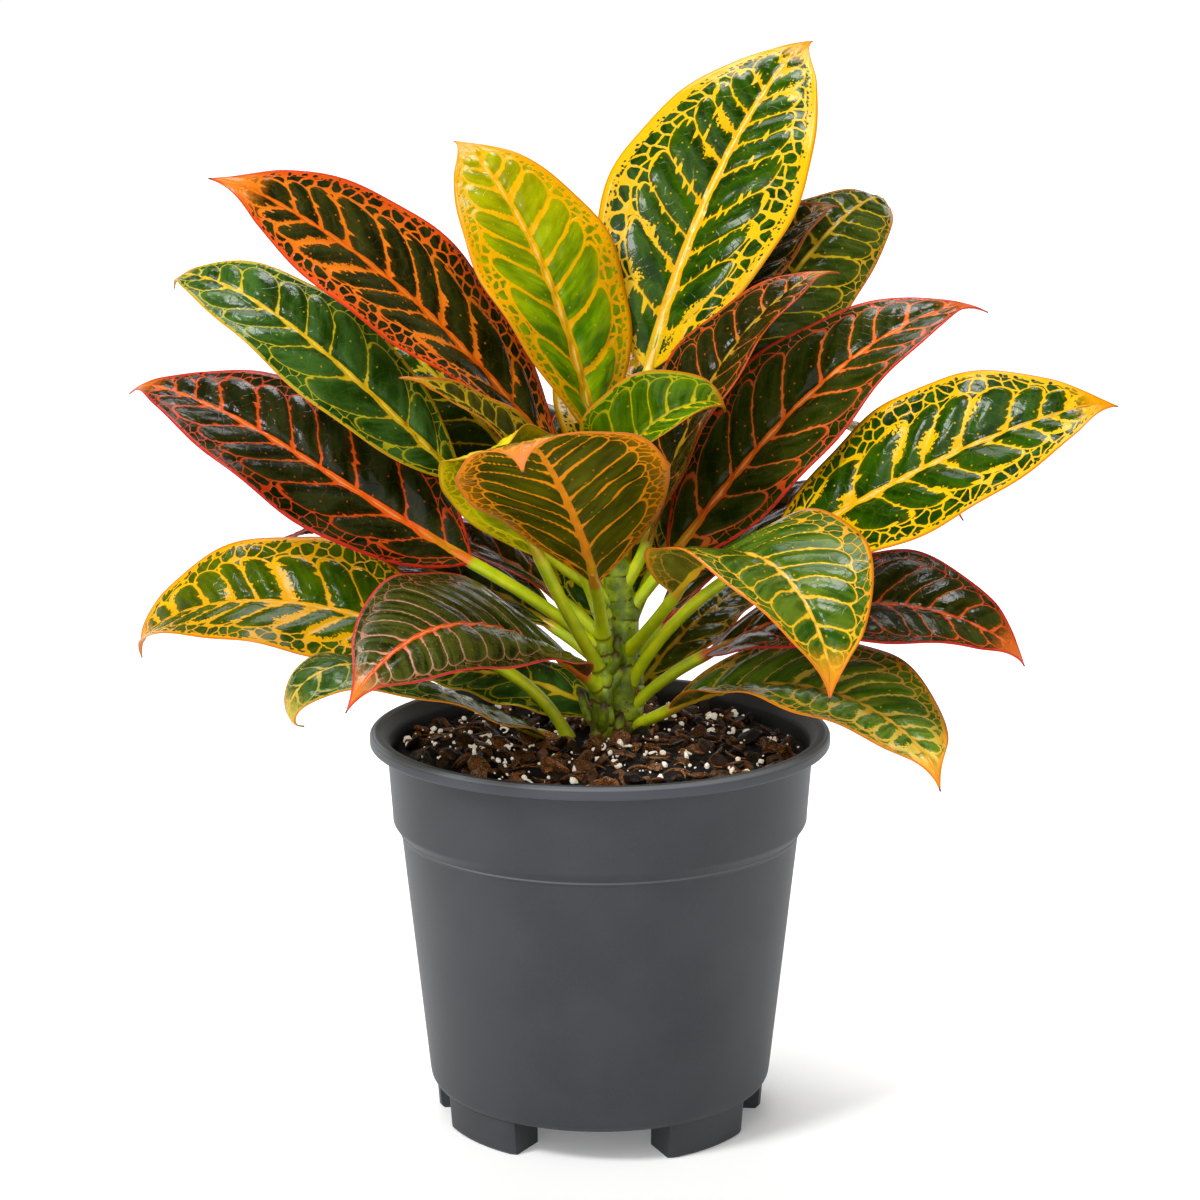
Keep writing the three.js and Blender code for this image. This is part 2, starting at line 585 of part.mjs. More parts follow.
function soilBody(random) {
  const inside = potInside(CLEARANCE);
  const edgeRadius = BAND_FOOT_RADIUS - WALL - CLEARANCE
    + wallSlope * (SOIL_EDGE_HEIGHT - BAND_FOOT_HEIGHT) - 0.1;
  const points = [];
  const rows = [];
  for (const [radius, height] of inside) {
    const count = radius > 0 ? SOIL_SIDES : 1;
    const row = [];
    for (let j = 0; j < count; j += 1) {
      row.push(points.length);
      points.push(polar(radius, 360 * j / SOIL_SIDES, height));
    }
    rows.push(row);
  }
  for (let i = SOIL_RINGS; i >= 0; i -= 1) {
    const row = [];
    const radius = edgeRadius * i / SOIL_RINGS;
    const count = i > 0 ? SOIL_SIDES : 1;
    for (let j = 0; j < count; j += 1) {
      row.push(points.length);
      const turn = 360 * (j + (i < SOIL_RINGS ? 0.5 * (random() - 0.5) : 0)) / SOIL_SIDES;
      const point = polar(radius, turn, 0);
      point.z = soilHeight(point.x, point.y, random);
      points.push(point);
    }
    rows.push(row);
  }
  const faces = [];
  for (let i = 0; i + 1 < rows.length; i += 1) {
    for (let j = 0; j < SOIL_SIDES; j += 1) {
      const k = (j + 1) % SOIL_SIDES;
      const [a, b] = [rows[i][j % rows[i].length], rows[i][k % rows[i].length]];
      const [c, d] = [rows[i + 1][j % rows[i + 1].length], rows[i + 1][k % rows[i + 1].length]];
      if (a !== b) faces.push([a, b, d]);
      if (c !== d) faces.push([a, d, c]);
    }
  }
  return solidOf(points, faces);
}

// A bark piece: a flat, bent six-sided lump, half sunk in the surface.
function barkPiece(random) {
  const between = ([low, high], share) => low + (high - low) * share;
  const heading = 360 * random();
  const distance = between(CHIP_DISTANCE, Math.sqrt(random()));
  const centre = polar(distance, heading, moundHeight(distance));
  const tilt = () => CHIP_TILT * (random() - 0.5);
  const turn = new THREE.Euler(tilt(), tilt(), 2 * Math.PI * random());
  const length = between(CHIP_LENGTH, random());
  const width = between(CHIP_WIDTH, random());
  const ring = (height, scale) => {
    const points = [];
    for (let j = 0; j < 6; j += 1) {
      const [cos, sin] = [Math.cos(Math.PI * j / 3), Math.sin(Math.PI * j / 3)];
      const point = new THREE.Vector3(length * cos * scale, width * sin * scale, height);
      points.push(point.applyEuler(turn).add(centre));
    }
    return points;
  };
  return loft([ring(-CHIP_DEPTH, 0.8), ring(0.3 * CHIP_DEPTH, 1), ring(CHIP_DEPTH, 0.6)]);
}

function buildSoil(stems, rootedStalks) {
  const random = makeRandom(SOIL_SEED);
  let soil = soilBody(random);
  const chips = [];
  for (let i = 0; i < CHIP_COUNT; i += 1) chips.push(barkPiece(random));
  for (const chip of chips) soil = soil.add(chip);
  for (const stem of stems) soil = soil.subtract(buildStem(stem, CLEARANCE));
  for (const stalk of rootedStalks) soil = soil.subtract(stalk);
  return soil;
}

// ---------------------------------------------------------------- assembly
const plant = new THREE.Group();
plant.name = 'potted_croton';

const grownStems = [MAIN_STEM, SIDE_SHOOT].map((stem) => buildStem(stem, CLEARANCE));
const rootedStalks = [];
const leafNodes = LEAVES.map((leaf) => {
  const frames = leafFrames(leaf);
  let solid = bladeSolid(leaf, frames).add(stalkSolid(leaf, frames, 0));
  for (const stem of grownStems) solid = solid.subtract(stem);
  if (leaf.stem === null) rootedStalks.push(stalkSolid(leaf, frames, CLEARANCE));
  return node(leaf.name, solid, leaf.colour, 0.35);
});

plant.add(node('pot', buildPot(), '#55575b', 0.6));
plant.add(node('potting_mix', buildSoil([MAIN_STEM, SIDE_SHOOT], rootedStalks), '#3a2519', 0.95));
plant.add(node('main_stem', buildStem(MAIN_STEM, 0), '#6f7a2c', 0.6));
plant.add(node('side_shoot', buildStem(SIDE_SHOOT, 0), '#8a8a2a', 0.6));
for (const leafNode of leafNodes) plant.add(leafNode);

export default plant;
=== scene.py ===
# A croton with broad patterned leaves in a grey nursery pot.
# Lengths are millimetres in the code and become metres where a mesh is made.
# The viewer of the front stands at -Y. Headings are degrees anticlockwise from +X, seen from above.
import json
from math import cos, pi, radians, sin

import bmesh
import bpy
import numpy as np
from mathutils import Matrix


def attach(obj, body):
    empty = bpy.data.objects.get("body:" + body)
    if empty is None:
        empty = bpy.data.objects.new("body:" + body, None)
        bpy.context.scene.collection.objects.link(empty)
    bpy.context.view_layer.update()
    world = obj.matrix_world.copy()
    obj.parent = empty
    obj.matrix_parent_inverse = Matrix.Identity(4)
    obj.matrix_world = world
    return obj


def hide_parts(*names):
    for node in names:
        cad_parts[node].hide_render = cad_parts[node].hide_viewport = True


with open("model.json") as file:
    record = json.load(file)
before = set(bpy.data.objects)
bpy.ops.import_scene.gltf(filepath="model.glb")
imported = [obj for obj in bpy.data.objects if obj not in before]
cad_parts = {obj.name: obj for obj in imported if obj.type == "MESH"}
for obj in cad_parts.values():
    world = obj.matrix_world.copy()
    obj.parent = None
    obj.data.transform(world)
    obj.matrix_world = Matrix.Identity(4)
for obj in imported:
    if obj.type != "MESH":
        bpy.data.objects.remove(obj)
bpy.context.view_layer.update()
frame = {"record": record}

MM = 0.001

# ---------------------------------------------------------------- dimensions shared with the solids
RIM_RADIUS = 85
POT_HEIGHT = 147
RIM_FACE = 4.5
WALL = 1.5
WALL_TOP_RADIUS = 78.7
BAND_FOOT_RADIUS = 76.8
BAND_FOOT_HEIGHT = 113.4
STEP_RADIUS = BAND_FOOT_RADIUS - 3
STEP_HEIGHT = BAND_FOOT_HEIGHT - 3.6
BASE_RADIUS = 64
FOOT_HEIGHT = 13
FLOOR_TOP = FOOT_HEIGHT + 2
FLOOR_FILLET = 3.5
FOOT_OUTER_RADIUS = 61
FOOT_INNER_RADIUS = 45
FOOT_SWEEP = 36
FOOT_HEADINGS = (-138.5, -47.5, 12, 67, 113, 167)
DRAIN_RADIUS = 4.5
DRAIN_RING_RADIUS = 33
DRAIN_COUNT = 6
CLEARANCE = 0.3
SOIL_EDGE_HEIGHT = 139
SOIL_MOUND = 3.5

MAIN_STEM = dict(path=((7.5, 13, 128), (9, 12, 165), (8, 11, 190), (2, 10, 225), (0, 10, 234)),
                 radii=(6.8, 6, 5.2, 4, 1.8))
SIDE_SHOOT = dict(path=((0, 3, 128), (0.8, 3, 158), (1.5, 3, 184), (1.6, 3, 192)),
                  radii=(4.3, 3.8, 3.1, 1.5))

STALK_RADIUS = 2.2
STALK_SWELLING = 0.8
STALK_SWELLING_LENGTH = 7
ROOT_LENGTH = 8
MARGIN_WAVE = 1.1
MARGIN_WAVES = 3.5
KEEL_DEPTH = 1.5
TIP_HOOK = 24
TIP_HOOK_STEPS = 4
STALK_STEPS = 12
BLADE_STEPS = 40

# ---------------------------------------------------------------- settings of the scene alone
# how finely each mesh is divided
BLADE_ROWS, BLADE_COLUMNS = 104, 51
STALK_RINGS, STALK_SIDES = 34, 18
STEM_RINGS, STEM_SIDES = 150, 40
SOIL_RINGS, SOIL_SIDES = 52, 144
FOOT_SLICES = 16
POT_SIDES, DRAIN_SIDES, STUMP_SIDES = 180, 36, 14

# small things that are tried at random places; those too near a stem, leaf or edge are left out
BARK_TRIES, FIBRE_TRIES, CURL_TRIES, GRAIN_TRIES, STUMP_TRIES = 560, 110, 16, 360, 9
MIX_SEED, MAIN_STEM_SEED, SIDE_SHOOT_SEED = 11, 5, 6

QUILT = 1.1  # rise of a blade between its side veins
LEAF_TURN = 137.5  # degrees from one leaf to the next up a stem
SHARP_EDGE = 38  # degrees; the pot's flatter edges are shaded smooth
# the grains' glow is painted light that keeps them light in shade; the floor's glow keeps it evenly white
GRAIN_PAINTED_GLOW, FLOOR_GLOW = 0.3, 0.16

# The studio is so bright that its white floor shows only deep shadows, so colours given as they
# look there are darkened by this share.
STUDIO_SHARE = 0.68


# ---------------------------------------------------------------- small helpers
def linear(code, share=STUDIO_SHARE):
    """A hexadecimal display colour as linear red, green, blue and alpha."""
    parts = [int(code[i:i + 2], 16) / 255 for i in (0, 2, 4)]
    parts = [c / 12.92 if c <= 0.04045 else ((c + 0.055) / 1.055) ** 2.4 for c in parts]
    return tuple(c * share for c in parts) + (1.0,)


def polar(radius, heading, height):
    """A point beside the pot's axis."""
    return np.array([radius * cos(radians(heading)), radius * sin(radians(heading)), height])


def smooth(low, high, x):
    t = np.clip((np.asarray(x, float) - low) / (high - low), 0, 1)
    return t * t * (3 - 2 * t)


def bell(x, width):
    """1 at 0, falling smoothly to both sides."""
    return np.exp(-(x / width) ** 2)


def unit(vectors):
    """Rows of vectors, each made one long."""
    return vectors / np.linalg.norm(vectors, axis=1)[:, None]


def ring_turns(sides):
    """The angle of each point of a ring."""
    return np.linspace(0, 2 * pi, sides, endpoint=False)


def wobble(points, scale, seed):
    """A smooth random number from about -1 to 1 at each point, from a few crossed waves."""
    random = np.random.default_rng(seed)
    total = np.zeros(len(points))
    for _ in range(7):
        direction = random.normal(size=3)
        direction *= random.uniform(0.7, 1.5) / (scale * np.linalg.norm(direction))
        total += np.sin(points @ direction * 2 * pi + random.uniform(0, 2 * pi))
    return total / 3.2


def add_object(name, data):
    made = bpy.data.objects.new(name, data)
    bpy.context.scene.collection.objects.link(made)
    return made


# ---------------------------------------------------------------- meshes
class Shape:
    """Points and faces of one piece, with numbers kept per point for its material."""

    def __init__(self):
        self.points, self.faces, self.slots = [], [], []
        self.numbers = {}
        self.count = 0

    def add(self, points, faces, slot=0, **numbers):
        points = np.asarray(points, float).reshape(-1, 3)
        for key, value in numbers.items():
            value = np.asarray(value, float)
            if value.ndim == 0:
                value = np.full(len(points), float(value))
            self.numbers.setdefault(key, []).append(value)
        self.points.append(points)
        self.faces.extend([tuple(i + self.count for i in face) for face in faces])
        self.slots.extend([slot] * len(faces))
        self.count += len(points)

    def build(self, name, materials, flat=False):
        mesh = bpy.data.meshes.new(name)
        mesh.from_pydata((np.concatenate(self.points) * MM).tolist(), [], self.faces)
        mesh.polygons.foreach_set("material_index", self.slots)
        mesh.polygons.foreach_set("use_smooth", [not flat] * len(self.faces))
        for key, values in self.numbers.items():
            values = np.concatenate(values)
            kind = "FLOAT" if values.ndim == 1 else "FLOAT_VECTOR"
            attribute = mesh.attributes.new(key, kind, "POINT")
            attribute.data.foreach_set("value" if kind == "FLOAT" else "vector", values.ravel())
        for material in materials:
            mesh.materials.append(material)
        mesh.validate()
        work = bmesh.new()
        work.from_mesh(mesh)
        bmesh.ops.recalc_face_normals(work, faces=work.faces)
        work.to_mesh(mesh)
        work.free()
        return add_object(name, mesh)


def grid_faces(rows, columns, start=0, closed=False):
    """Faces of a grid of points; closed joins the last column to the first."""
    faces = []
    for i in range(rows - 1):
        for j in range(columns if closed else columns - 1):
            k = (j + 1) % columns
            low, high = start + i * columns, start + (i + 1) * columns
            faces.append((low + j, low + k, high + k, high + j))
    return faces


def capped_faces(rows, sides):
    """Faces of a closed grid with a cap at each end."""
    last = (rows - 1) * sides
    caps = [tuple(range(sides))[::-1], tuple(range(last, last + sides))]
    return grid_faces(rows, sides, closed=True) + caps


def rounded(outline, size, steps=3):
    """An outline with each inner corner turned into a short curve."""
    out = [np.array(outline[0], float)]
    for before, corner, after in zip(outline, outline[1:], outline[2:]):
        corner = np.array(corner, float)
        ends = []
        for other in (before, after):
            away = np.linalg.norm(other - corner)
            ends.append(corner + (other - corner) / away * min(size, 0.45 * away))
        for t in np.linspace(0, 1, steps + 1):
            out.append((1 - t) ** 2 * ends[0] + 2 * t * (1 - t) * corner + t * t * ends[1])
    out.append(np.array(outline[-1], float))
    return out


def revolve(outline, sides):
    """Points and faces of an outline of radius and height pairs turned about the pot's axis."""
    turns = ring_turns(sides)
    spokes = np.stack([np.cos(turns), np.sin(turns), 0 * turns], 1)
    points = np.concatenate([spokes * max(r, 0.01) + (0, 0, h) for r, h in outline])
    return points, capped_faces(len(outline), sides)


def tube(centres, radii, sides, frames=None):
    """A closed tube through the centres; each ring's plane is square to the path."""
    centres, radii = np.asarray(centres, float), np.asarray(radii, float)
    if frames is None:
        along = unit(np.gradient(centres, axis=0))
        side = unit(np.cross(along, (0.3, 0.9, 0.1) if abs(along[0][2]) > 0.8 else (0, 0, 1)))
        frames = side, np.cross(side, along)
    side, up = (values[:, None] for values in frames)
    if radii.ndim == 1:
        radii = radii[:, None]
    turns = ring_turns(sides)[:, None]
    points = centres[:, None] + radii[:, :, None] * (np.cos(turns) * side + np.sin(turns) * up)
    return points.reshape(-1, 3), capped_faces(len(centres), sides)


def finish_piece(piece, slot, *nodes):
    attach(piece, "root")
    if nodes:
        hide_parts(*nodes)


# ---------------------------------------------------------------- material graphs
class Number:
    """A socket that carries a number; arithmetic on it makes Math nodes."""

    def __init__(self, socket):
        self.socket = socket

    def math(self, operation, *others):
        node = new_node(self.socket, "Math", operation=operation)
        for value, socket in zip((self, *others), node.inputs):
            link(value, socket)
        return Number(node.outputs[0])

    def step(self, low, high):
        """0 below low, 1 above high, a smooth rise between them; low may be the larger."""
        node = new_node(self.socket, "MapRange", interpolation_type="SMOOTHSTEP")
        return Number(linked(node, {"Value": self, "From Min": low, "From Max": high}))

    def __rsub__(self, other):
        return self * -1 + other

    def __rtruediv__(self, other):
        return self ** -1 * other


def method_for(operation):
    return lambda number, *others: number.math(operation, *others)


for method, operation in dict(
        __add__="ADD", __radd__="ADD", __sub__="SUBTRACT", __mul__="MULTIPLY", __rmul__="MULTIPLY",
        __truediv__="DIVIDE", __pow__="POWER", __abs__="ABSOLUTE", low="MINIMUM", high="MAXIMUM",
        floor="FLOOR", fract="FRACT", sine="SINE", root="SQRT", over="GREATER_THAN").items():
    setattr(Number, method, method_for(operation))


class Grid(np.ndarray):
    """An array with some of Number's methods, so that one function serves meshes and materials."""

    def high(self, other):
        return np.maximum(self, other)

    def fract(self):
        return self - np.floor(self)

    def sine(self):
        return np.sin(self)

    def root(self):
        return np.sqrt(self)

    def over(self, other):
        return 1.0 * (self > other)


def new_node(near, kind, **settings):
    """A new node in the tree of a node or socket."""
    node = near.id_data.nodes.new("ShaderNode" + kind)
    for name, value in settings.items():
        setattr(node, name, value)
    return node


def link(value, socket):
    """Gives a socket a value: a fixed one, a colour's code, or that of another socket."""
    if isinstance(value, Number):
        value = value.socket
    if isinstance(value, bpy.types.NodeSocket):
        socket.id_data.links.new(value, socket)
    else:
        socket.default_value = linear(value) if isinstance(value, str) else value


def linked(node, values):
    """Gives a node's sockets their values, by name or number, and returns its first output."""
    for name, value in values.items():
        link(value, node.inputs[name])
    return node.outputs[0]


def mixed(share, first, second):
    """A colour between two colours."""
    node = new_node(share.socket, "Mix", data_type="RGBA")
    linked(node, {"Factor": share, 6: first, 7: second})
    return node.outputs[2]


def layered(colour, *layers):
    """A colour with others laid over it, each given as its share and itself."""
    for share, over in layers:
        colour = mixed(share, colour, over)
    return colour


def brightened(colour, value):
    return linked(new_node(colour, "HueSaturation"), {"Color": colour, "Value": value})


def vector(x, y, z=0.0):
    return linked(new_node(x.socket, "CombineXYZ"), {0: x, 1: y, 2: z})


def split(socket):
    node = new_node(socket, "SeparateXYZ")
    linked(node, {0: socket})
    return [Number(output) for output in node.outputs]


def attribute(near, name, kind="Fac"):
    return new_node(near, "Attribute", attribute_name=name).outputs[kind]


def noise(place, scale, detail=2.0, roughness=0.5):
    node = new_node(place, "TexNoise")
    linked(node, {"Vector": place, "Scale": scale, "Detail": detail, "Roughness": roughness})
    return Number(node.outputs[0])


def noise_vector(place, scale):
    """Three numbers of a noise's own."""
    return split(noise(place, scale).socket.node.outputs[1])


def cells(place, scale, feature="F1", dimensions="2D", jitter=1.0):
    """Distances in a pattern of cells."""
    node = new_node(place, "TexVoronoi", feature=feature, voronoi_dimensions=dimensions)
    return Number(linked(node, {"Vector": place, "Scale": scale, "Randomness": jitter}))


def object_place(near):
    """The place in the row's frame, in millimetres."""
    place = new_node(near, "TexCoord").outputs["Object"]
    return linked(new_node(near, "VectorMath", operation="SCALE"), {0: place, "Scale": 1 / MM})


def material(name):
    """A new material and its shader."""
    made = bpy.data.materials.new(name)
    made.use_nodes = True
    return made, made.node_tree.nodes["Principled BSDF"]


def paint(shader, colour, roughness, height=None, rise=0.0, specular=0.5):
    """Gives a shader its looks; rise is how many millimetres a height of 1 stands out."""
    linked(shader, {"Base Color": colour, "Roughness": roughness, "Specular IOR Level": specular})
    if height is not None:
        bump = linked(new_node(shader, "Bump"), {"Distance": rise * MM, "Height": height})
        link(bump, shader.inputs["Normal"])


def glow(shader, colour, strength):
    """Lets a surface give off some light of its own, so that it stays light in shade."""
    linked(shader, {"Emission Color": colour, "Emission Strength": strength})


# ---------------------------------------------------------------- the leaf's pattern
# The side veins leave the midrib on both hands, lean to the tip and join in arches before the
# margin, so the panels between them are finger-shaped. Outside the arches lies a net of cells.
# A place on a blade is (along the midrib from the blade's base, across it, half its width there).
SPREAD = 0.35
HAND_SHIFT = 0.43
JITTER = 0.16
JITTER_RATE = 1.7

# The sizes of a look are the spacing, lean and curve of the side veins and the share of the blade's
# half width where they join (loop), the widths of the veins, their teeth (feather), the margin, the
# net's walls and the midrib, the size of the net's cells and of the blotches, how strongly spots
# show (dots), and how far the panels turn to the veins' colour towards the tip (ripe).
# glow is the panels' paler green: partly their own tone, partly painted sheen.
# line is the midrib's paler centre: partly its own colour, partly a painted highlight.
COLOUR_NAMES = ("panel", "glow", "vein", "margin", "rim", "midrib", "line", "tip",
                "under_panel", "under_vein")
SHAPE_DEFAULTS = dict(spacing=20, lean=0.5, curve=0.28, loop=0.82, vein=0.24, feather=0.5, margin=0.2,
                      cell=5, wall=0.2, midrib=2.8, blotch=0, dots=0.5, ripe=0)


def look(colours, **shape):
    """A leaf's colours, in the order of COLOUR_NAMES, and the sizes of its pattern."""
    return dict(SHAPE_DEFAULTS, **shape, colours=dict(zip(COLOUR_NAMES, colours.split())))


LOOKS = dict(
    gold=look("143400 3c6400 fcc800 fcc400 f09a10 fcb800 fff488 f8a000 5a6410 c8aa12", lean=0.6, loop=0.68,
        vein=0.34, feather=4.2, margin=2.2, cell=5.8, wall=0.5, midrib=4.2, blotch=3),
    lime=look("467a00 94b800 fcbe00 fcae00 ee9a10 fcb600 ffd860 fca000 6e7a0a ccb41a", spacing=18,
        curve=0.35, loop=0.74, vein=0.8, margin=1.2, cell=4.2, wall=0.6, midrib=4.2, blotch=0.6, ripe=0.3),
    ember=look("181c00 3a3e12 ff8a1c f45c14 e0321c fc6c0c ff9c30 f68a12 6c4810 d06c1a", lean=0.7, curve=0.4,
        loop=0.7, vein=0.45, feather=2.6, margin=0.6, cell=4.6, wall=0.42, midrib=3.4, blotch=0.9),
    meadow=look("1c3c04 46702a d6c826 b8b41e e8a41c f6c41a f6e24e cc8a1c 525c14 bca824", lean=0.6, vein=0.2,
        feather=0.7, cell=5.6, wall=0.14, midrib=2.4),
    crimson=look("101800 323818 dc5618 cc3a12 cc2026 fc6416 ffa050 ee8a1a 4c2c10 b85222", lean=0.65,
        loop=0.76, vein=0.34, feather=1.3, margin=0.4, cell=4.8, wall=0.18, midrib=3.2),
    amber=look("1e4400 4c6c04 fcbc08 fcb402 ee7a12 fcb00c fcd252 f08010 646410 d09a1a", spacing=17,
        loop=0.7, vein=0.5, feather=2, margin=0.7, cell=4.6, wall=0.3, midrib=2.6, blotch=2, ripe=0.05),
    rose=look("142203 50581c dcac84 a8603e e42e34 fa5a26 ffa468 f08a1e 52390f c0602a", spacing=15,
        curve=0.5, loop=0.84, vein=0.2, feather=0.2, wall=0.08, dots=0.2),
    copper=look("3c5004 607404 fcac0c f89210 f08238 f2921a f8b848 f2824a 464600 ff9c10", spacing=15,
        loop=0.8, vein=0.58, feather=0.2, margin=0.6, cell=4.4, wall=0.3, midrib=2.5),
    spring=look("3a6400 628a08 e4d40c bcbc0c e87a14 dcc60c f2e64a e88a1a 5c7010 c0b420", spacing=11,
        feather=0.2, cell=3.8, midrib=1.7),
    forest=look("203a00 586620 e6c41c cc961a e6761a eab41a f6dc60 c8ae26 4a4e18 b09224", spacing=18,
        vein=0.34, feather=0.7, wall=0.16, midrib=1.9),
    night=look("121e00 2c2e06 e4702a bc4c16 cc4c16 bc941a e4ae36 d29a4a 342a0c 9c5c20", spacing=17,
        wall=0.16, midrib=1.8),
    scarlet=look("1c2a00 3c4612 f07a30 d44a1e dc2824 fc6a18 ffb45c ea6820 452a10 b05624", lean=0.65,
        vein=0.38, feather=0.8, margin=0.3, cell=5.2, wall=0.14, midrib=3),
    sun=look("123000 345c02 fcc808 fcc000 ec8a12 fcbc10 ffe878 f89808 586014 ccaa20", lean=0.6, loop=0.7,
        vein=0.32, feather=2.4, margin=0.8, cell=4.8, wall=0.34, midrib=3, blotch=2.2),
    honey=look("26520a 68821e fccc28 f0a818 ee7820 f6b624 fcdc64 f28e1e 5c5a14 cc9a24", spacing=15,
        loop=0.76, vein=0.3, feather=0.6, margin=0.4, cell=4.6, wall=0.18),
    wine=look("1a2604 424a14 f06a2c d43c20 de2a30 f05624 fa9858 f07c24 44280f ac4a26", spacing=16, vein=0.2,
        margin=0.3, wall=0.14),
    saffron=look("3a6a08 82a42a ffe058 fcb01c ee821c fcc028 fcd45e f08e18 5c5c14 cc9e20", spacing=16,
        loop=0.76, vein=0.46, feather=1.2, margin=0.4, cell=4.6, wall=0.28, midrib=2.6, blotch=2),
    sage=look("204204 4a6a2c b8b054 a8ac3e e07a1a d8b030 f0dc84 dcbc30 545e24 b4a03c", spacing=15,
        vein=0.16, feather=0.3, wall=0.12, midrib=1.8),
    lemon=look("98ae00 c4c400 fce008 fcc402 d09808 dcbc0c f2e25a e0a81a 9aa000 ecd40c", spacing=14,
        loop=0.74, vein=0.4, margin=1.2, cell=3.6, wall=0.35, midrib=1.9, blotch=0.8, ripe=0.6),
    moss=look("183600 32560a dcc816 b8ac18 e2a41c e6c61a f4e044 c89826 3c5412 b0a41e", loop=0.8, vein=0.36,
        feather=2, cell=5.4),
    olive=look("363a06 545010 ccaa1e b8901a d8701c d8b41e ecd054 d8a024 504816 b49022", spacing=12,
        loop=0.8, feather=0.4, cell=4.2, midrib=1.5),
    rust=look("223002 3e460a dc7420 d85c1c cc401c dc7a1a f0aa58 dc7e26 7a4014 c07026", spacing=18,
        loop=0.74, vein=0.4, feather=1, margin=0.7, cell=4.4, wall=0.3, midrib=2),
    umber=look("1a2402 303410 cc8220 b0681a b85218 cc9820 e8c458 9a8a6a 3a340f 9c6c24", spacing=16,
        loop=0.8, margin=0.3, cell=4.8, midrib=1.8))


def vein_course(s, y, away, half, length, shape, seed):
    """Where a place lies among the side veins: how far inside its panel, the panel's pitch, its
    order along the midrib and the share of the way through it. For Grids and for Numbers."""
    share = away / half
    start = s - away * shape["lean"] - shape["curve"] * away * share
    order = (start + start * abs(start) / length * SPREAD) / shape["spacing"] + y.over(0.0) * HAND_SHIFT
    order = order + (order * JITTER_RATE + seed).sine() * JITTER
    part = order.fract()
    slope = shape["lean"] + shape["curve"] * share * 2.0
    spread = start.high(0.0) / length * (2 * SPREAD) + 1.0
    pitch = shape["spacing"] / spread / (slope * slope + 1.0).root()
    beside = abs(part - 0.5) * pitch
    beyond = (pitch * 0.5 - (shape["loop"] * half - away)).high(0.0)
    inward = pitch * 0.5 - (beside * beside + beyond * beyond).root()
    return inward, pitch, order, part


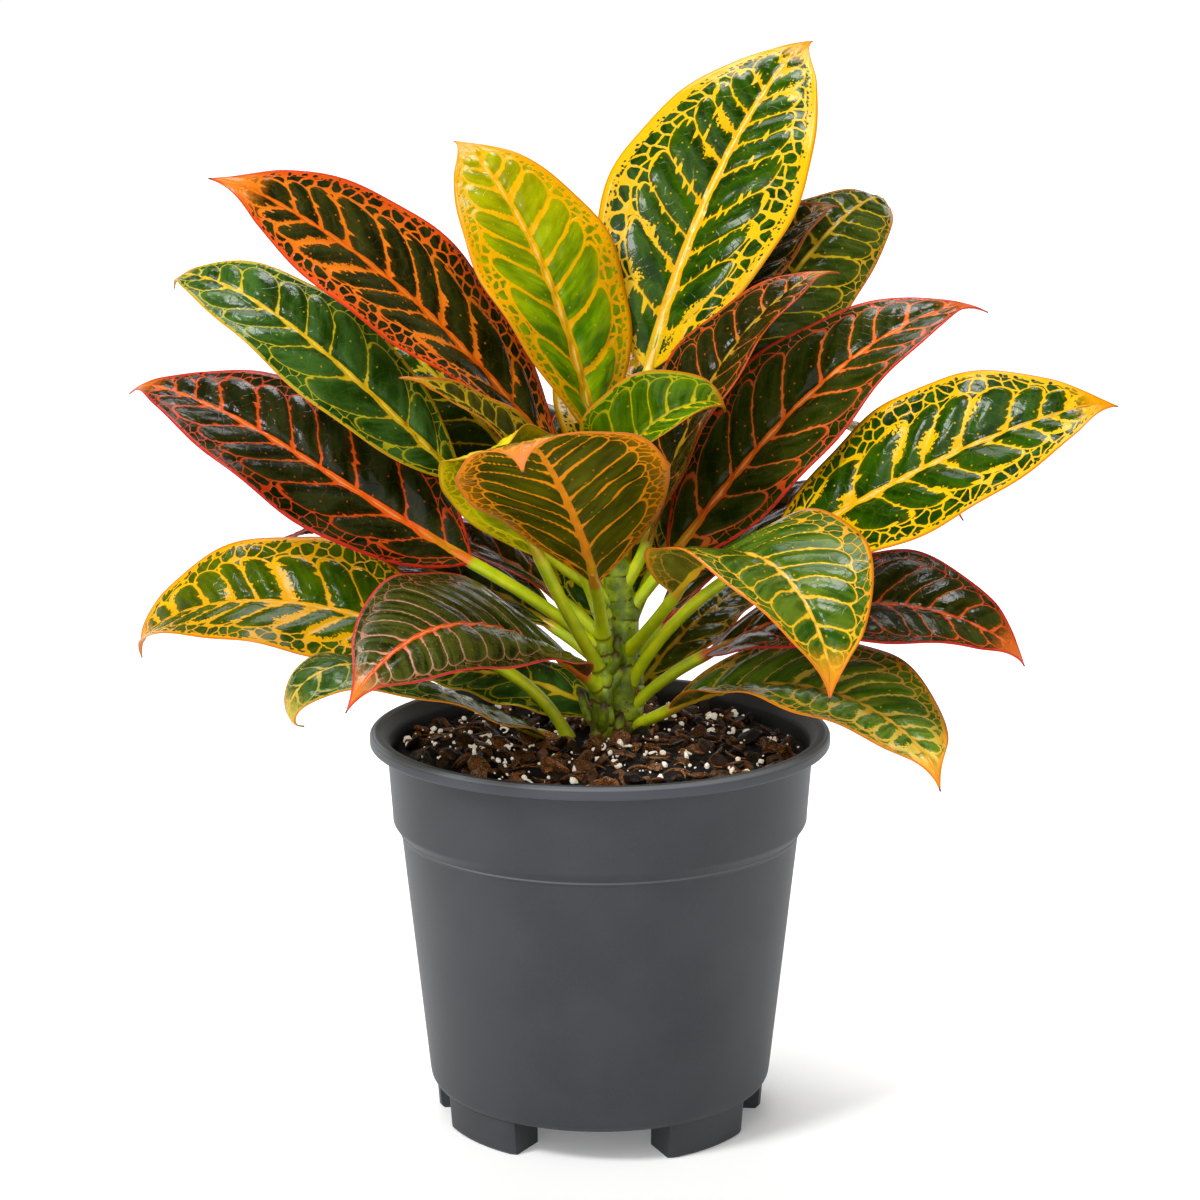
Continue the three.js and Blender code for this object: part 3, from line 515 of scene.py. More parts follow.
def pattern_group():
    """The node group that draws the pattern of a leaf's two faces."""
    tree = bpy.data.node_groups.new("leaf_pattern", "ShaderNodeTree")
    numbers = ("top", "length", "seed", *SHAPE_DEFAULTS)
    sockets = [("place", "INPUT", "Vector")]
    sockets += [(name, "INPUT", "Float") for name in numbers]
    sockets += [(name + " colour", "INPUT", "Color") for name in COLOUR_NAMES]
    sockets += [("Color", "OUTPUT", "Color"), ("Roughness", "OUTPUT", "Float"),
                ("Height", "OUTPUT", "Float")]
    for name, way, kind in sockets:
        tree.interface.new_socket(name, in_out=way, socket_type="NodeSocket" + kind)
    inside, outside = tree.nodes.new("NodeGroupInput"), tree.nodes.new("NodeGroupOutput")
    given = {name: Number(inside.outputs[name]) for name in numbers}
    colour = {name: inside.outputs[name + " colour"] for name in COLOUR_NAMES}
    length, seed = given["length"], given["seed"]

    s, y, half = split(inside.outputs["place"])
    shifted = vector(s + seed * 31.0, y)
    bend = noise_vector(shifted, 0.06)
    s_bent = s + (bend[0] - 0.5) * 5.0
    away = (abs(y) + (bend[1] - 0.5) * 2.4).high(0.0)
    share = away / half
    inward, _, order, part = vein_course(s_bent, y, away, half, length, given, seed)
    edge = half - abs(y)

    # width of the veins: wide at the midrib, with teeth that point into the panels
    tooth_place = vector(away * 0.42 + order.floor() * 7.3, part.over(0.5) * 5.0 + seed, s * 0.01)
    teeth = noise(tooth_place, 1.0, 1.0)
    small = noise(shifted, 0.9)
    patch = noise(shifted, 0.045, 1.0)
    reach = teeth.step(0.5, 0.74) * given["feather"] * (small * 0.8 + 0.5)
    width = given["vein"] * (1.15 - share * 0.75) * (s / length * 0.6 + 0.7)
    width = width + reach * 0.8 + (small - 0.5) * 0.35
    width = width + patch.step(0.52, 0.68) * given["blotch"] * (small.step(0.3, 0.7) + 0.4)
    width = width + (away * -1.0 + 4.5).high(0.0) * 0.12
    panel = inward.step(width - 0.22, width + 0.22)

    # spots of the vein's colour in the panels
    spot = cells(shifted, 0.16)
    chosen = split(spot.socket.node.outputs["Color"])[0].over(0.45)
    spot = (spot * 6.25).step(0.5, 0.25) * chosen * given["dots"]
    panel = panel * (1.0 - spot.low(1.0))

    # faint small veins across the panels
    curl = noise_vector(shifted, 0.35)
    hair_place = vector(s_bent + away * 0.4 + curl[0] * 3.0, y * 0.7 + curl[1] * 3.0)
    hair = cells(hair_place, 0.19, "DISTANCE_TO_EDGE").step(0.07, 0.0) * (1.0 - share * 0.4)

    # the net outside the arches: a row or two of rounded cells along the margin, then dots
    net_place = vector(s_bent + seed * 11.0 + curl[0] * 1.6, edge + curl[1] * 1.6)
    net_scale = 1.0 / given["cell"]
    wall = cells(net_place, net_scale, "DISTANCE_TO_EDGE", jitter=0.85) * given["cell"]
    wall_width = given["wall"] + (small - 0.5) * 0.25
    middle = cells(net_place, net_scale, jitter=0.85)
    round_cell = (0.76 - given["wall"] * 0.32 - middle) * given["cell"]
    border = given["margin"] + given["wall"] * 4.0 + 0.5
    big_cell = (wall - wall_width).math("SMOOTH_MIN", round_cell, 0.5).low(edge - border)
    dot_size = edge.step(given["margin"], border) * 0.14 + 0.2
    dot = (dot_size - cells(net_place, 0.42, jitter=0.7)) * 2.4
    dot = dot.low(border - edge).low(edge - given["margin"] - 0.4)
    net_cell = big_cell.high(dot).step(-0.14, 0.14)
    outer = inward.step(0.15, -0.25)
    arch = abs(inward).step(given["vein"] * 0.75 + 0.2, given["vein"] * 0.4)
    green = panel * (1.0 - outer) + net_cell * outer * (1.0 - arch)

    # midrib, tip and rim
    midrib_half = given["midrib"] * 0.58 * (1.15 - s / length * 0.85).high(0.12)
    flare = (small - 0.5) * 0.35
    midrib = abs(y).step(midrib_half + 0.25 + flare, midrib_half - 0.15 + flare)
    midline = abs(y).step(midrib_half * 0.5, midrib_half * 0.15)
    tip = (s / length + (small - 0.5) * 0.05).step(0.86, 0.97)
    point = (s / length).step(0.985, 0.997)
    rim = edge.step(0.95, 0.35)
    green = green * (1.0 - tip)

    # colours of the upper face, of the underside, and of what lies over both
    streak = noise(vector(away * 0.07 + seed, order * 2.6, seed), 1.0, 3.0, 0.6)
    cloud = noise(shifted, 0.05)
    # the streaks and clouds that turn the panels to their glow colour are partly the panels' own tone and
    # partly painted sheen; lit brightens the underside's panels in the same streaks, partly tone and partly
    # painted sheen
    tone_and_painted_sheen = (streak.step(0.36, 0.66) * 0.75 + cloud.step(0.4, 0.7) * 0.4).low(1.0)
    halo = (inward - width).step(1.6, 0.0) * 0.05 * (1.0 - outer) + hair * 0.04
    ripe = (s / length + cloud * 0.3).step(0.45, 1.05) + share.step(0.4, 1.0) * 0.35
    leaf_green = layered(colour["panel"], (tone_and_painted_sheen, colour["glow"]), (halo, colour["vein"]),
                         ((ripe * given["ripe"]).low(1.0), colour["vein"]))
    vein = layered(colour["vein"], (share.step(0.5, 0.95), colour["margin"]),
                   (share.step(0.35, 0.0) * 0.6, colour["midrib"]))
    surface = mixed(green, vein, leaf_green)
    lit = brightened(colour["under_panel"],
                     streak.step(0.3, 0.7) * 0.9 + cloud.step(0.4, 0.7) * 0.5 + 0.7)
    under = layered(colour["under_vein"], (green, lit),
                    (share.step(0.7, 1.0) * 0.4, colour["margin"]))
    # the midrib's paler centre line is partly its own two-tone colour and partly a painted highlight along
    # its rounded top
    rib = layered(colour["midrib"], (midline * 0.85 * given["top"], colour["line"]),
                  (s.step(26.0, 2.0) * 0.5, "c4cc08"))
    surface = layered(mixed(given["top"], under, surface), (midrib, rib),
                      (tip * 0.8, colour["tip"]), (rim * 0.85, colour["rim"]), (point, "3a1a10"))
    fleck = noise(shifted, 2.4, 3.0)
    skin = inward.step(0.0, 1.6) * (1.0 - outer) * 0.6 + net_cell * outer * 0.5
    results = {
        "Color": brightened(surface, fleck * 0.24 + 0.88),
        "Roughness": given["top"] * -0.26 + 0.42 + (1.0 - green) * 0.1 + (fleck - 0.5) * 0.1,
        "Height": skin + streak * 0.8 + fleck * 0.04 - midline * 0.3 - hair * 0.25}
    for name, value in results.items():
        link(value, outside.inputs[name])
    return tree


def blade_material(leaf, group):
    made, shader = material("blade_" + leaf["name"])
    node = new_node(shader, "Group", node_tree=group)
    style = leaf["look"]
    given = dict(place=attribute(shader, "place", "Vector"), top=attribute(shader, "top"),
                 length=leaf["length"], seed=leaf["seed"])
    given.update((name, style[name]) for name in SHAPE_DEFAULTS)
    given.update((name + " colour", style["colours"][name]) for name in COLOUR_NAMES)
    linked(node, given)
    colour, roughness, height = node.outputs
    paint(shader, colour, roughness, height, 0.16, 0.12)
    return made


def painted_underside_shade(shader):
    """How far a place faces the ground, for painted shade: the side of a stem or stalk that faces down is
    painted a deeper green.
    """
    return split(new_node(shader, "NewGeometry").outputs["Normal"])[2].step(0.0, -0.95)


def stalk_material(style):
    """Green at the stem, the midrib's colour at the blade, with fine lines along the stalk and painted
    shade on its underside.
    """
    made, shader = material("stalk_" + style["name"])
    place = object_place(shader)
    s, around, run = split(attribute(shader, "place", "Vector"))
    lines = noise(vector(s * 0.05, around * 1.6), 1.0, 3.0)
    mottle = noise(place, 0.12)
    ring = abs(run - 4.6 + mottle * 1.2).step(0.9, 0.2)
    colour = layered(
        linear("b4ca04", 0.9), (mottle.step(0.3, 0.7), linear("dce408", 0.9)),
        (lines.step(0.45, 0.75) * 0.35, "eef030"), (run.step(7.0, 0.0) * 0.35, "7e9a06"),
        (ring * 0.7, "5c2c0c"), ((s + mottle * 3.0).step(-1.0, 3.0) * 0.9, style["colours"]["midrib"]),
        # painted shade: the stalk's downward side is darkened to a deeper green
        (painted_underside_shade(shader) * 0.5, "2c3a04"))
    paint(shader, colour, mottle * 0.15 + 0.3, lines * 0.6 + mottle * 0.4, 0.12)
    return made


# ---------------------------------------------------------------- the leaf's form
def turn_pair(a, b, degrees):
    c, s = cos(radians(degrees)), sin(radians(degrees))
    return a * c - b * s, b * c + a * s


def leaf_frames(leaf):
    """Places and directions from the leaf's foot along the stalk and the midrib to its tip."""
    azimuth, rise = radians(leaf["heading"]), radians(leaf["rise"])
    along = np.array([cos(rise) * cos(azimuth), cos(rise) * sin(azimuth), sin(rise)])
    side = np.array([sin(azimuth), -cos(azimuth), 0.0])
    up = np.cross(side, along)
    place = leaf["foot"].copy()
    frames = [(place.copy(), along, side, up)]

    def advance(length, bend, yaw, roll):
        nonlocal along, side, up, place
        along, up = turn_pair(along, up, bend)
        side, along = turn_pair(side, along, yaw)
        side, up = turn_pair(side, up, roll)
        place = place + along * length
        frames.append((place.copy(), along, side, up))

    for _ in range(STALK_STEPS):
        advance(leaf["stalk"] / STALK_STEPS, leaf["bend"] / STALK_STEPS, 0, leaf["roll"] / STALK_STEPS)
    for i in range(BLADE_STEPS):
        a, b = i / BLADE_STEPS, (i + 1) / BLADE_STEPS
        hook = TIP_HOOK / TIP_HOOK_STEPS if i >= BLADE_STEPS - TIP_HOOK_STEPS else 0
        droop = leaf["droop"] * (b ** leaf["late"] - a ** leaf["late"]) + hook
        advance(leaf["length"] / BLADE_STEPS, droop, leaf["sweep"] / BLADE_STEPS,
                leaf["twist"] / BLADE_STEPS)
    return [np.array(values) for values in zip(*frames)]


def between(values, steps):
    """Rows of values at places between whole steps, on smooth curves through them."""
    i = np.clip(np.floor(steps).astype(int), 0, len(values) - 2)
    t = (steps - i)[:, None]
    before, after = values[np.maximum(i - 1, 0)], values[np.minimum(i + 2, len(values) - 1)]
    a, b = values[i], values[i + 1]
    return 0.5 * (2 * a + (b - before) * t + (2 * before - 5 * a + 4 * b - after) * t ** 2
                  + (3 * a - before - 3 * b + after) * t ** 3)


def stem_centre(stem, height):
    path = np.array(stem["path"], float)
    return np.array([np.interp(height, path[:, 2], path[:, k]) for k in (0, 1)] + [height])


# what the numbers in each group of a leaf's numbers are, in their order
LEAF_GROUPS = dict(foot=("at", "heading", "rise"), stalk=("stalk", "bend", "roll"),
                   blade=("length", "width", "widest"), droop=("droop", "late"),
                   turn=("sweep", "twist"), fold=("fold", "tip_fold", "cup"))


def leaf(name, style, stem=MAIN_STEM, root=None, **groups):
    """A leaf on a stem, or on a stalk of its own where root gives its place in the potting mix."""
    made = dict(name="leaf_" + name, look=dict(LOOKS[style], name=style), stem=None if root else stem)
    for group, values in groups.items():
        made.update(zip(LEAF_GROUPS[group], values))
    made["foot"] = np.array([*root, made["at"]], float) if root else stem_centre(stem, made["at"])
    made["seed"] = float(len(made["name"]) * 3 % 17)
    return made


# the leaves that the photograph shows come first, then those at the back and inside the crown
LEAVES = [
    leaf("top_right", "gold", foot=(221.4, 56, 61.6), stalk=(60.9, -2, 10.4),
         blade=(163.1, 77.4, 0.42), droop=(31.7, 1.6), turn=(11.8, 4.6), fold=(23.6, 11.3, 15.3)),
    leaf("top_left", "lime", foot=(227.3, 127, 85.3), stalk=(24.2, 14.3, 13.1),
         blade=(134.9, 62, 0.48), droop=(42.5, 2.2), turn=(-11.5, -32), fold=(24.2, 11.2, 17)),
    leaf("left_upper", "ember", foot=(206, 184, 71), stalk=(43, 18, -22),
         blade=(166, 66, 0.53), droop=(22, 1.8), turn=(-22, -26), fold=(26, 11, 15)),
    leaf("left_green", "meadow", foot=(190, 185, 34), stalk=(77, -11, -52),
         blade=(156, 43, 0.42), droop=(86, 2), turn=(19, -1), fold=(17, 17, 17)),
    leaf("left_red", "crimson", SIDE_SHOOT, foot=(174.7, 185.6, 43.3), stalk=(59.8, 15.6, -52.9),
         blade=(157.2, 62.7, 0.38), droop=(51, 2.6), turn=(17.7, 15.8), fold=(24.6, 16, 13.5)),
    leaf("left_yellow", "amber", root=(-10, 4), foot=(138, 197, 72), stalk=(56, 54, -48),
         blade=(151, 59, 0.41), droop=(80, 1.8), turn=(-5, -3), fold=(11, 33, 12)),
    leaf("front_left", "rose", SIDE_SHOOT, foot=(159.9, 226, 45.4), stalk=(11.9, 11.3, -17.2),
         blade=(156.8, 63, 0.39), droop=(50.4, 1.6), turn=(-44.2, -5.3), fold=(28.4, 0.7, 18)),
    leaf("front_centre", "copper", SIDE_SHOOT, foot=(178.4, 261.4, 62.5), stalk=(35, 23.4, 5.3),
         blade=(133.1, 73.6, 0.5), droop=(90.3, 8), turn=(13, 6.4), fold=(33.8, 2.4, 15.4)),
    leaf("young_centre", "spring", foot=(220, -64, 24), stalk=(30, -34, 98),
         blade=(71, 41, 0.4), droop=(155, 1.8), turn=(-1, -10), fold=(41, 32, -8)),
    leaf("right_upper", "forest", foot=(206.7, 31.4, 55.5), stalk=(70.6, 3.5, 40.9),
         blade=(153.8, 49.8, 0.37), droop=(85.4, 2.1), turn=(4.9, 5.5), fold=(5.3, 0.1, 25.9)),
    leaf("right_dark", "night", foot=(197, -15, 46), stalk=(22, -25, 36),
         blade=(131, 52, 0.4), droop=(65, 2.1), turn=(-15, 4), fold=(27, 16, 12)),
    leaf("right_red", "scarlet", foot=(186, -10, 49), stalk=(28, -5, 60),
         blade=(159, 58, 0.46), droop=(60, 2.1), turn=(-2, -30), fold=(15, 21, 16)),
    leaf("right_yellow", "sun", foot=(155, -41, 63), stalk=(85, 35, 60),
         blade=(141, 62, 0.52), droop=(38, 2.2), turn=(-7, 5), fold=(12, 25, 15)),
    leaf("front_right", "honey", foot=(172, -61, 33), stalk=(49, -9, 10),
         blade=(135, 68, 0.49), droop=(103, 1.2), turn=(16, -13), fold=(22, 21, 11)),
    leaf("right_low", "wine", foot=(148, -27, 49), stalk=(43, 19, 17),
         blade=(131, 61, 0.47), droop=(75, 1.8), turn=(11, 15), fold=(15, 19, 17)),
    leaf("front_low_right", "saffron", foot=(143, -32, 23), stalk=(24, -7, 15),
         blade=(152, 62, 0.44), droop=(46, 0.9), turn=(47, -23), fold=(36, 3, 15)),
    leaf("low_left", "sage", root=(-19.7, 8), foot=(139, 235, 55), stalk=(6, 28, -5),
         blade=(145, 59, 0.43), droop=(167, 6.4), turn=(14, -12), fold=(12, 3, 28)),
    leaf("behind_front", "lemon", SIDE_SHOOT, foot=(166.8, 229.4, 50.2), stalk=(59.5, -9.4, 32.3),
         blade=(80.1, 46.6, 0.42), droop=(113.4, 2.7), turn=(-10.4, 24.3), fold=(23.2, 13.7, 11.5)),
    leaf("behind_left", "moss", foot=(193.9, 142.7, 49.5), stalk=(36.6, 8.5, -15.1),
         blade=(130.1, 56, 0.43), droop=(7.5, 1.5), turn=(-8.4, -16.7), fold=(9.5, 7.7, 23.3)),
    leaf("left_narrow", "olive", SIDE_SHOOT, foot=(188, 216, 58), stalk=(30.2, -11, -52.1),
         blade=(98, 23.3, 0.42), droop=(50.3, 1.1), turn=(-13.5, 3.7), fold=(36.7, 31.8, 19.2)),
    leaf("behind_top_left", "rust", foot=(213.3, 133.7, 68.3), stalk=(40.8, 25.2, 33.8),
         blade=(106.6, 53.2, 0.42), droop=(0.7, 1.4), turn=(13.9, 0), fold=(6.8, 19.2, 25.6)),
    leaf("behind_top_right", "umber", foot=(214.1, 37.2, 58.2), stalk=(57, -0.2, 16.1),
         blade=(115.4, 36.9, 0.43), droop=(48.2, 1.8), turn=(6.6, 2.4), fold=(32, 31.2, 21.9)),
    leaf("back_upper", "gold", foot=(195, 86.7, 71), stalk=(36, 18, 0),
         blade=(126, 57, 0.42), droop=(52.5, 1.5), turn=(0, 0), fold=(16, 14, 19.5)),
    leaf("back_left", "crimson", foot=(180, 112.7, 59.1), stalk=(52, 17, 13),
         blade=(137, 56, 0.42), droop=(112, 1.7), turn=(-14.2, 6), fold=(16, 14, 18)),
    leaf("back_right", "forest", foot=(175, 39, 69), stalk=(38, 17, 3),
         blade=(142, 56, 0.42), droop=(91, 1.3), turn=(-3, 2), fold=(16, 14, 18)),
    leaf("back_low_left", "scarlet", foot=(165.2, 154.5, 58.8), stalk=(36, 26.5, 5.2),
         blade=(141.6, 51.9, 0.42), droop=(71.9, 1.4), turn=(-6.8, 0.7), fold=(18.8, 13, 18.1)),
    leaf("back_low", "sun", foot=(161.3, 86, 75.5), stalk=(28, 18.2, 1),
         blade=(128.3, 54.3, 0.42), droop=(118.4, 1.4), turn=(-1, 6.5), fold=(17.9, 13.7, 17.9)),
    leaf("back_far_right", "wine", foot=(160.9, 16.8, 62.6), stalk=(25.6, 10.3, 0.1),
         blade=(142.6, 53.6, 0.42), droop=(84.4, 1.4), turn=(-3.2, -8.3), fold=(16, 13.8, 20)),
    leaf("back_far_left", "meadow", foot=(158, 157, 49.8), stalk=(35.5, 22.4, -6.8),
         blade=(134.1, 54.3, 0.42), droop=(77.5, 1.4), turn=(-1.7, 1.9), fold=(16, 14, 18.3)),
    leaf("inner_left", "moss", foot=(157.3, 109.6, 55.8), stalk=(11, -2, 0.7),
         blade=(80.8, 30, 0.42), droop=(48.4, 1.4), turn=(-10.9, -1.5), fold=(18.9, 6.5, 18.3)),
    leaf("inner_right", "forest", foot=(148.5, 46.7, 56.4), stalk=(10.4, 20.8, 14.7),
         blade=(92.4, 29.4, 0.42), droop=(35.7, 1.4), turn=(8.1, -5.6), fold=(15.6, 7, 15.4)),
    leaf("inner_low", "meadow", foot=(144.1, 175.8, 43.7), stalk=(7.4, 16.6, -26.5),
         blade=(78.6, 31.6, 0.42), droop=(57.6, 1.4), turn=(1, -6.8), fold=(9.5, 12.4, 21.5)),
]
WAVE_PHASES = 6
for number, one in enumerate(LEAVES):
    one["phase"] = number % WAVE_PHASES


def blade_mesh(leaf, frames, shape):
    u = np.linspace(0, 1, BLADE_ROWS)
    places, _, side, up = (between(values[STALK_STEPS:], u * BLADE_STEPS) for values in frames)
    side, up = unit(side), unit(up)
    line = np.linspace(-1, 1, BLADE_COLUMNS)
    t = (0.55 * line + 0.45 * line ** 3)[None, :]
    widest = leaf["widest"]
    rising = (1 - np.clip(1 - u / widest, 0, 1) ** 2) ** 0.8
    to_tip = np.clip((u - widest) / (1 - widest), 0, 1)
    falling = (1 - to_tip ** 1.9) ** 1.15 * (1 - 0.5 * smooth(0.7, 1, to_tip))
    share = np.where(u < widest, rising, falling)
    half = np.maximum(leaf["width"] / 2 * share, (0.7 + 0.6 * (1 - u)) * (1 - 0.75 * smooth(0.96, 1, u)))
    half, u = half[:, None], u[:, None]
    reach, hand = np.abs(t), np.sign(t)
    fold = leaf["fold"] + (leaf["tip_fold"] - leaf["fold"]) * u
    mean, edge = np.radians(fold - leaf["cup"] * reach / 2), np.radians(fold - leaf["cup"] * reach)
    wave = MARGIN_WAVE * np.sin(2 * pi * MARGIN_WAVES * u + 1.3 * hand + leaf["phase"])
    wave = wave * reach ** 2 * np.sin(pi * u)
    across = (half * t * np.cos(mean))[..., None]
    lift = (half * reach * np.sin(mean) + wave)[..., None]
    sheet = places[:, None] + across * side[:, None] + lift * up[:, None]
    square = np.cos(edge)[..., None] * up[:, None] - (hand * np.sin(edge))[..., None] * side[:, None]

    # relief: panels swell between the veins, and ribs stand out below them
    s, y, half = u * leaf["length"] + 0 * t, half * t, half + 0 * t
    places = (values.view(Grid) for values in (s, y, np.abs(y), half))
    inward, pitch, *_ = vein_course(*places, leaf["length"], leaf["look"], leaf["seed"])
    inward, room = np.asarray(inward), np.asarray(pitch) / 2
    calm = smooth(0, 0.12, u) * smooth(1.0, 0.86, u)
    inside = inward / np.maximum(room, 1)
    swell = np.sin(pi / 2 * np.clip(inside, 0, 1)) * smooth(1.5, 7, room)
    creases = np.sin(3 * pi * inside + 1.5 * np.sin(s / 9 + hand)) * 0.16
    creases = creases + 0.12 * np.sin(s * 0.55 - np.abs(y) * 0.9 + leaf["seed"]) * np.sin(y * 0.35)
    relief = (QUILT * (swell - 0.35) + creases) * smooth(1.0, 0.86, reach) * calm
    relief = relief - 0.35 * bell(np.abs(y) - 2.4, 1.1) * calm
    top_rib = 0.3 * bell(y, 1.1) * (1 - u)
    keel = KEEL_DEPTH * bell(y, 1.5) * (1 - u) ** 0.8
    side_rib = 0.28 * bell(np.clip(inward, 0, 9), 0.7) * smooth(0.85, 0.5, reach) * calm
    thick = 0.3 - 0.1 * reach
    top = sheet + square * (relief + top_rib + thick)[..., None]
    bottom = sheet + square * (relief - keel - side_rib - thick)[..., None]
    place = np.stack([s, y, half], -1).reshape(-1, 3)
    rows, columns = BLADE_ROWS, BLADE_COLUMNS
    count = rows * columns
    top_faces = grid_faces(rows, columns)
    shape.add(top, top_faces, place=place, top=1.0)
    # the border joins the two faces of the blade
    border = ([i * columns for i in range(rows)] + [(rows - 1) * columns + j for j in range(1, columns)]
              + [i * columns + columns - 1 for i in range(rows - 2, -1, -1)]
              + [j for j in range(columns - 2, 0, -1)])
    faces = [face[::-1] for face in top_faces]
    faces += [(b - count, a - count, a, b) for a, b in zip(border, border[1:] + border[:1])]
    shape.add(bottom, faces, place=place, top=0.0)


def stalk_mesh(leaf, frames, shape):
    steps = np.linspace(0, STALK_STEPS + 3, STALK_RINGS)
    blade_part = np.maximum(steps - STALK_STEPS, 0)
    distance = (np.minimum(steps, STALK_STEPS) / STALK_STEPS * leaf["stalk"]
                + blade_part * leaf["length"] / BLADE_STEPS)
    centres, _, side, up = (between(values, steps) for values in frames)
    side, up = unit(side), unit(up)
    radii = STALK_RADIUS + 0.2 + (STALK_SWELLING + 0.5) * bell(distance, STALK_SWELLING_LENGTH)
    radii = radii - (STALK_RADIUS - 0.8) * np.clip(blade_part / 3, 0, 1)
    centres = centres - up * (0.5 * blade_part / 3)[:, None]
    if leaf["stem"] is None:
        root = centres[0] - frames[1][0] * ROOT_LENGTH
        centres, side, up = (np.concatenate(pair) for pair in (([root], centres), (side[:1], side),
                                                               (up[:1], up)))
        radii, distance = np.append(STALK_RADIUS, radii), np.append(-ROOT_LENGTH, distance)
    turns = ring_turns(STALK_SIDES)
    channel = 1 - 0.16 * bell(turns - pi / 2, 0.5)
    place = np.stack([np.repeat(distance - leaf["stalk"], STALK_SIDES),
                      np.tile(turns, len(centres)) * 2, np.repeat(distance, STALK_SIDES)], 1)
    shape.add(*tube(centres, radii[:, None] * channel, STALK_SIDES, (side, up)), slot=1,
              place=place, top=1.0)


def make_leaves():
    group = pattern_group()
    stalks = {}
    slots = {part["node"]: part["material_slot"] for part in frame["record"]["subparts"]}
    for leaf_data in LEAVES:
        shape = Shape()
        frames = leaf_frames(leaf_data)
        blade_mesh(leaf_data, frames, shape)
        stalk_mesh(leaf_data, frames, shape)
        name, style = leaf_data["name"], leaf_data["look"]
        if style["name"] not in stalks:
            stalks[style["name"]] = stalk_material(style)
        piece = shape.build(name + "_fine", [blade_material(leaf_data, group), stalks[style["name"]]])
        finish_piece(piece, slots[name], name)


# ---------------------------------------------------------------- pot
def pot_inside(gap):
    inner = BASE_RADIUS - WALL
    return [(0, FLOOR_TOP + gap), (inner - FLOOR_FILLET - gap, FLOOR_TOP + gap),
            (inner - gap, FLOOR_TOP + FLOOR_FILLET + gap),
            (STEP_RADIUS - WALL - gap, STEP_HEIGHT + 0.5),
            (BAND_FOOT_RADIUS - WALL - gap, BAND_FOOT_HEIGHT + 0.5)]


def pot_material():
    """Grey moulded plastic with a fine grain, faint cloudy places and a few light scuffs; the rim is
    painted paler as if well lit, with painted highlight lines along its top edge and the step.
    """
    made, shader = material("pot_plastic")
    place = object_place(shader)
    x, y, z = split(place)
    grain = noise(place, 1.3, 3.0, 0.6)
    cloud = noise(place, 0.03, 3.0)
    flow = noise(vector(x * 0.02, y * 0.02, z * 0.08), 1.0, 3.0)
    scuffs = noise(vector(x * 0.05, y * 0.05, z * 0.6), 1.0, 5.0, 0.7).step(0.66, 0.8)
    radius = (x * x + y * y).root()
    face_foot, throat = POT_HEIGHT - RIM_FACE, WALL_TOP_RADIUS - WALL
    # painted light: lip covers the rim's top and flange, which are painted a paler grey as if well lit
    lip = z.step(face_foot - 0.2, face_foot + 0.2) * radius.step(throat - 0.5, throat + 0.5)
    # painted highlights: thin light lines along the rim's top edge and along the step's edge
    rim_edge_painted_highlight = z.step(POT_HEIGHT - 1.3, POT_HEIGHT - 0.5) * radius.step(RIM_RADIUS - 2.6, RIM_RADIUS - 1.6)
    step_painted_highlight = abs(z - STEP_HEIGHT).step(0.45, 0.2) * 0.5 * radius.step(STEP_RADIUS - 0.6, STEP_RADIUS)
    colour = layered(
        "393b3f", (cloud.step(0.3, 0.7), "404246"), (flow.step(0.45, 0.75) * 0.3, "3f4043"),
        (grain.step(0.45, 0.75) * 0.12, "585a5d"), (scuffs * 0.08, "77787a"), (lip * 0.5, "55585f"),
        (rim_edge_painted_highlight.high(step_painted_highlight) * 0.7, "8e9298"))
    paint(shader, colour, grain * 0.14 + cloud * 0.06 + scuffs * 0.05 + 0.4, grain, 0.06, 0.22)
    return made


def make_pot():
    lip = POT_HEIGHT - RIM_FACE
    outer = [(0, FOOT_HEIGHT)]
    # each edge of the wall is rounded by a few points about its corner
    for radius, height, points in (
            (BASE_RADIUS, FOOT_HEIGHT, ((-3.4, 0), (-1.3, 0.6), (-0.3, 2.4), (0.1, 5))),
            (STEP_RADIUS, STEP_HEIGHT, ((-0.1, -1.2), (0.4, -0.8), (0.6, -0.1), (0.3, 0.2))),
            (BAND_FOOT_RADIUS, BAND_FOOT_HEIGHT, ((-0.5, -0.6), (0, 0.4), (0.1, 3))),
            (WALL_TOP_RADIUS, lip, ((0, -0.8), (0.8, 0))),
            (RIM_RADIUS, lip, ((-0.4, 0), (0, 0.5))),
            (RIM_RADIUS, POT_HEIGHT, ((0, -1.2), (-0.6, -0.4), (-1.4, -0.3), (-1.7, 0), (-4.6, 0),
                                      (-5.2, -0.6))),
            (WALL_TOP_RADIUS - WALL, lip, ((0.5, 1.2), (0, -0.6)))):
        outer += [(radius + out, height + up) for out, up in points]
    shape, drains, feet = Shape(), Shape(), Shape()
    shape.add(*revolve(rounded(outer + pot_inside(0)[::-1], 0.5), POT_SIDES))
    pot = shape.build("pot_fine", [pot_material()])
    for index in range(DRAIN_COUNT):
        centre = polar(DRAIN_RING_RADIUS, 360 * index / DRAIN_COUNT, 0)
        drains.add(*tube([centre + (0, 0, h) for h in (FOOT_HEIGHT - 1, FLOOR_TOP + 1)],
                         [DRAIN_RADIUS] * 2, DRAIN_SIDES))
    for heading in FOOT_HEADINGS:
        feet.add(*foot_mesh(heading))
    for name, tool, operation in (("drains", drains, "DIFFERENCE"), ("feet", feet, "UNION")):
        other = tool.build(name, [])
        change = pot.modifiers.new(name, "BOOLEAN")
        change.operation, change.object, change.solver = operation, other, "EXACT"
        bpy.context.view_layer.update()
        solid = bpy.data.meshes.new_from_object(pot.evaluated_get(bpy.context.evaluated_depsgraph_get()))
        pot.modifiers.clear()
        pot.data = solid
        bpy.data.objects.remove(other)
    for polygon in pot.data.polygons:
        polygon.use_smooth = True
    pot.data.set_sharp_from_angle(angle=radians(SHARP_EDGE))
    finish_piece(pot, "pot", "pot")


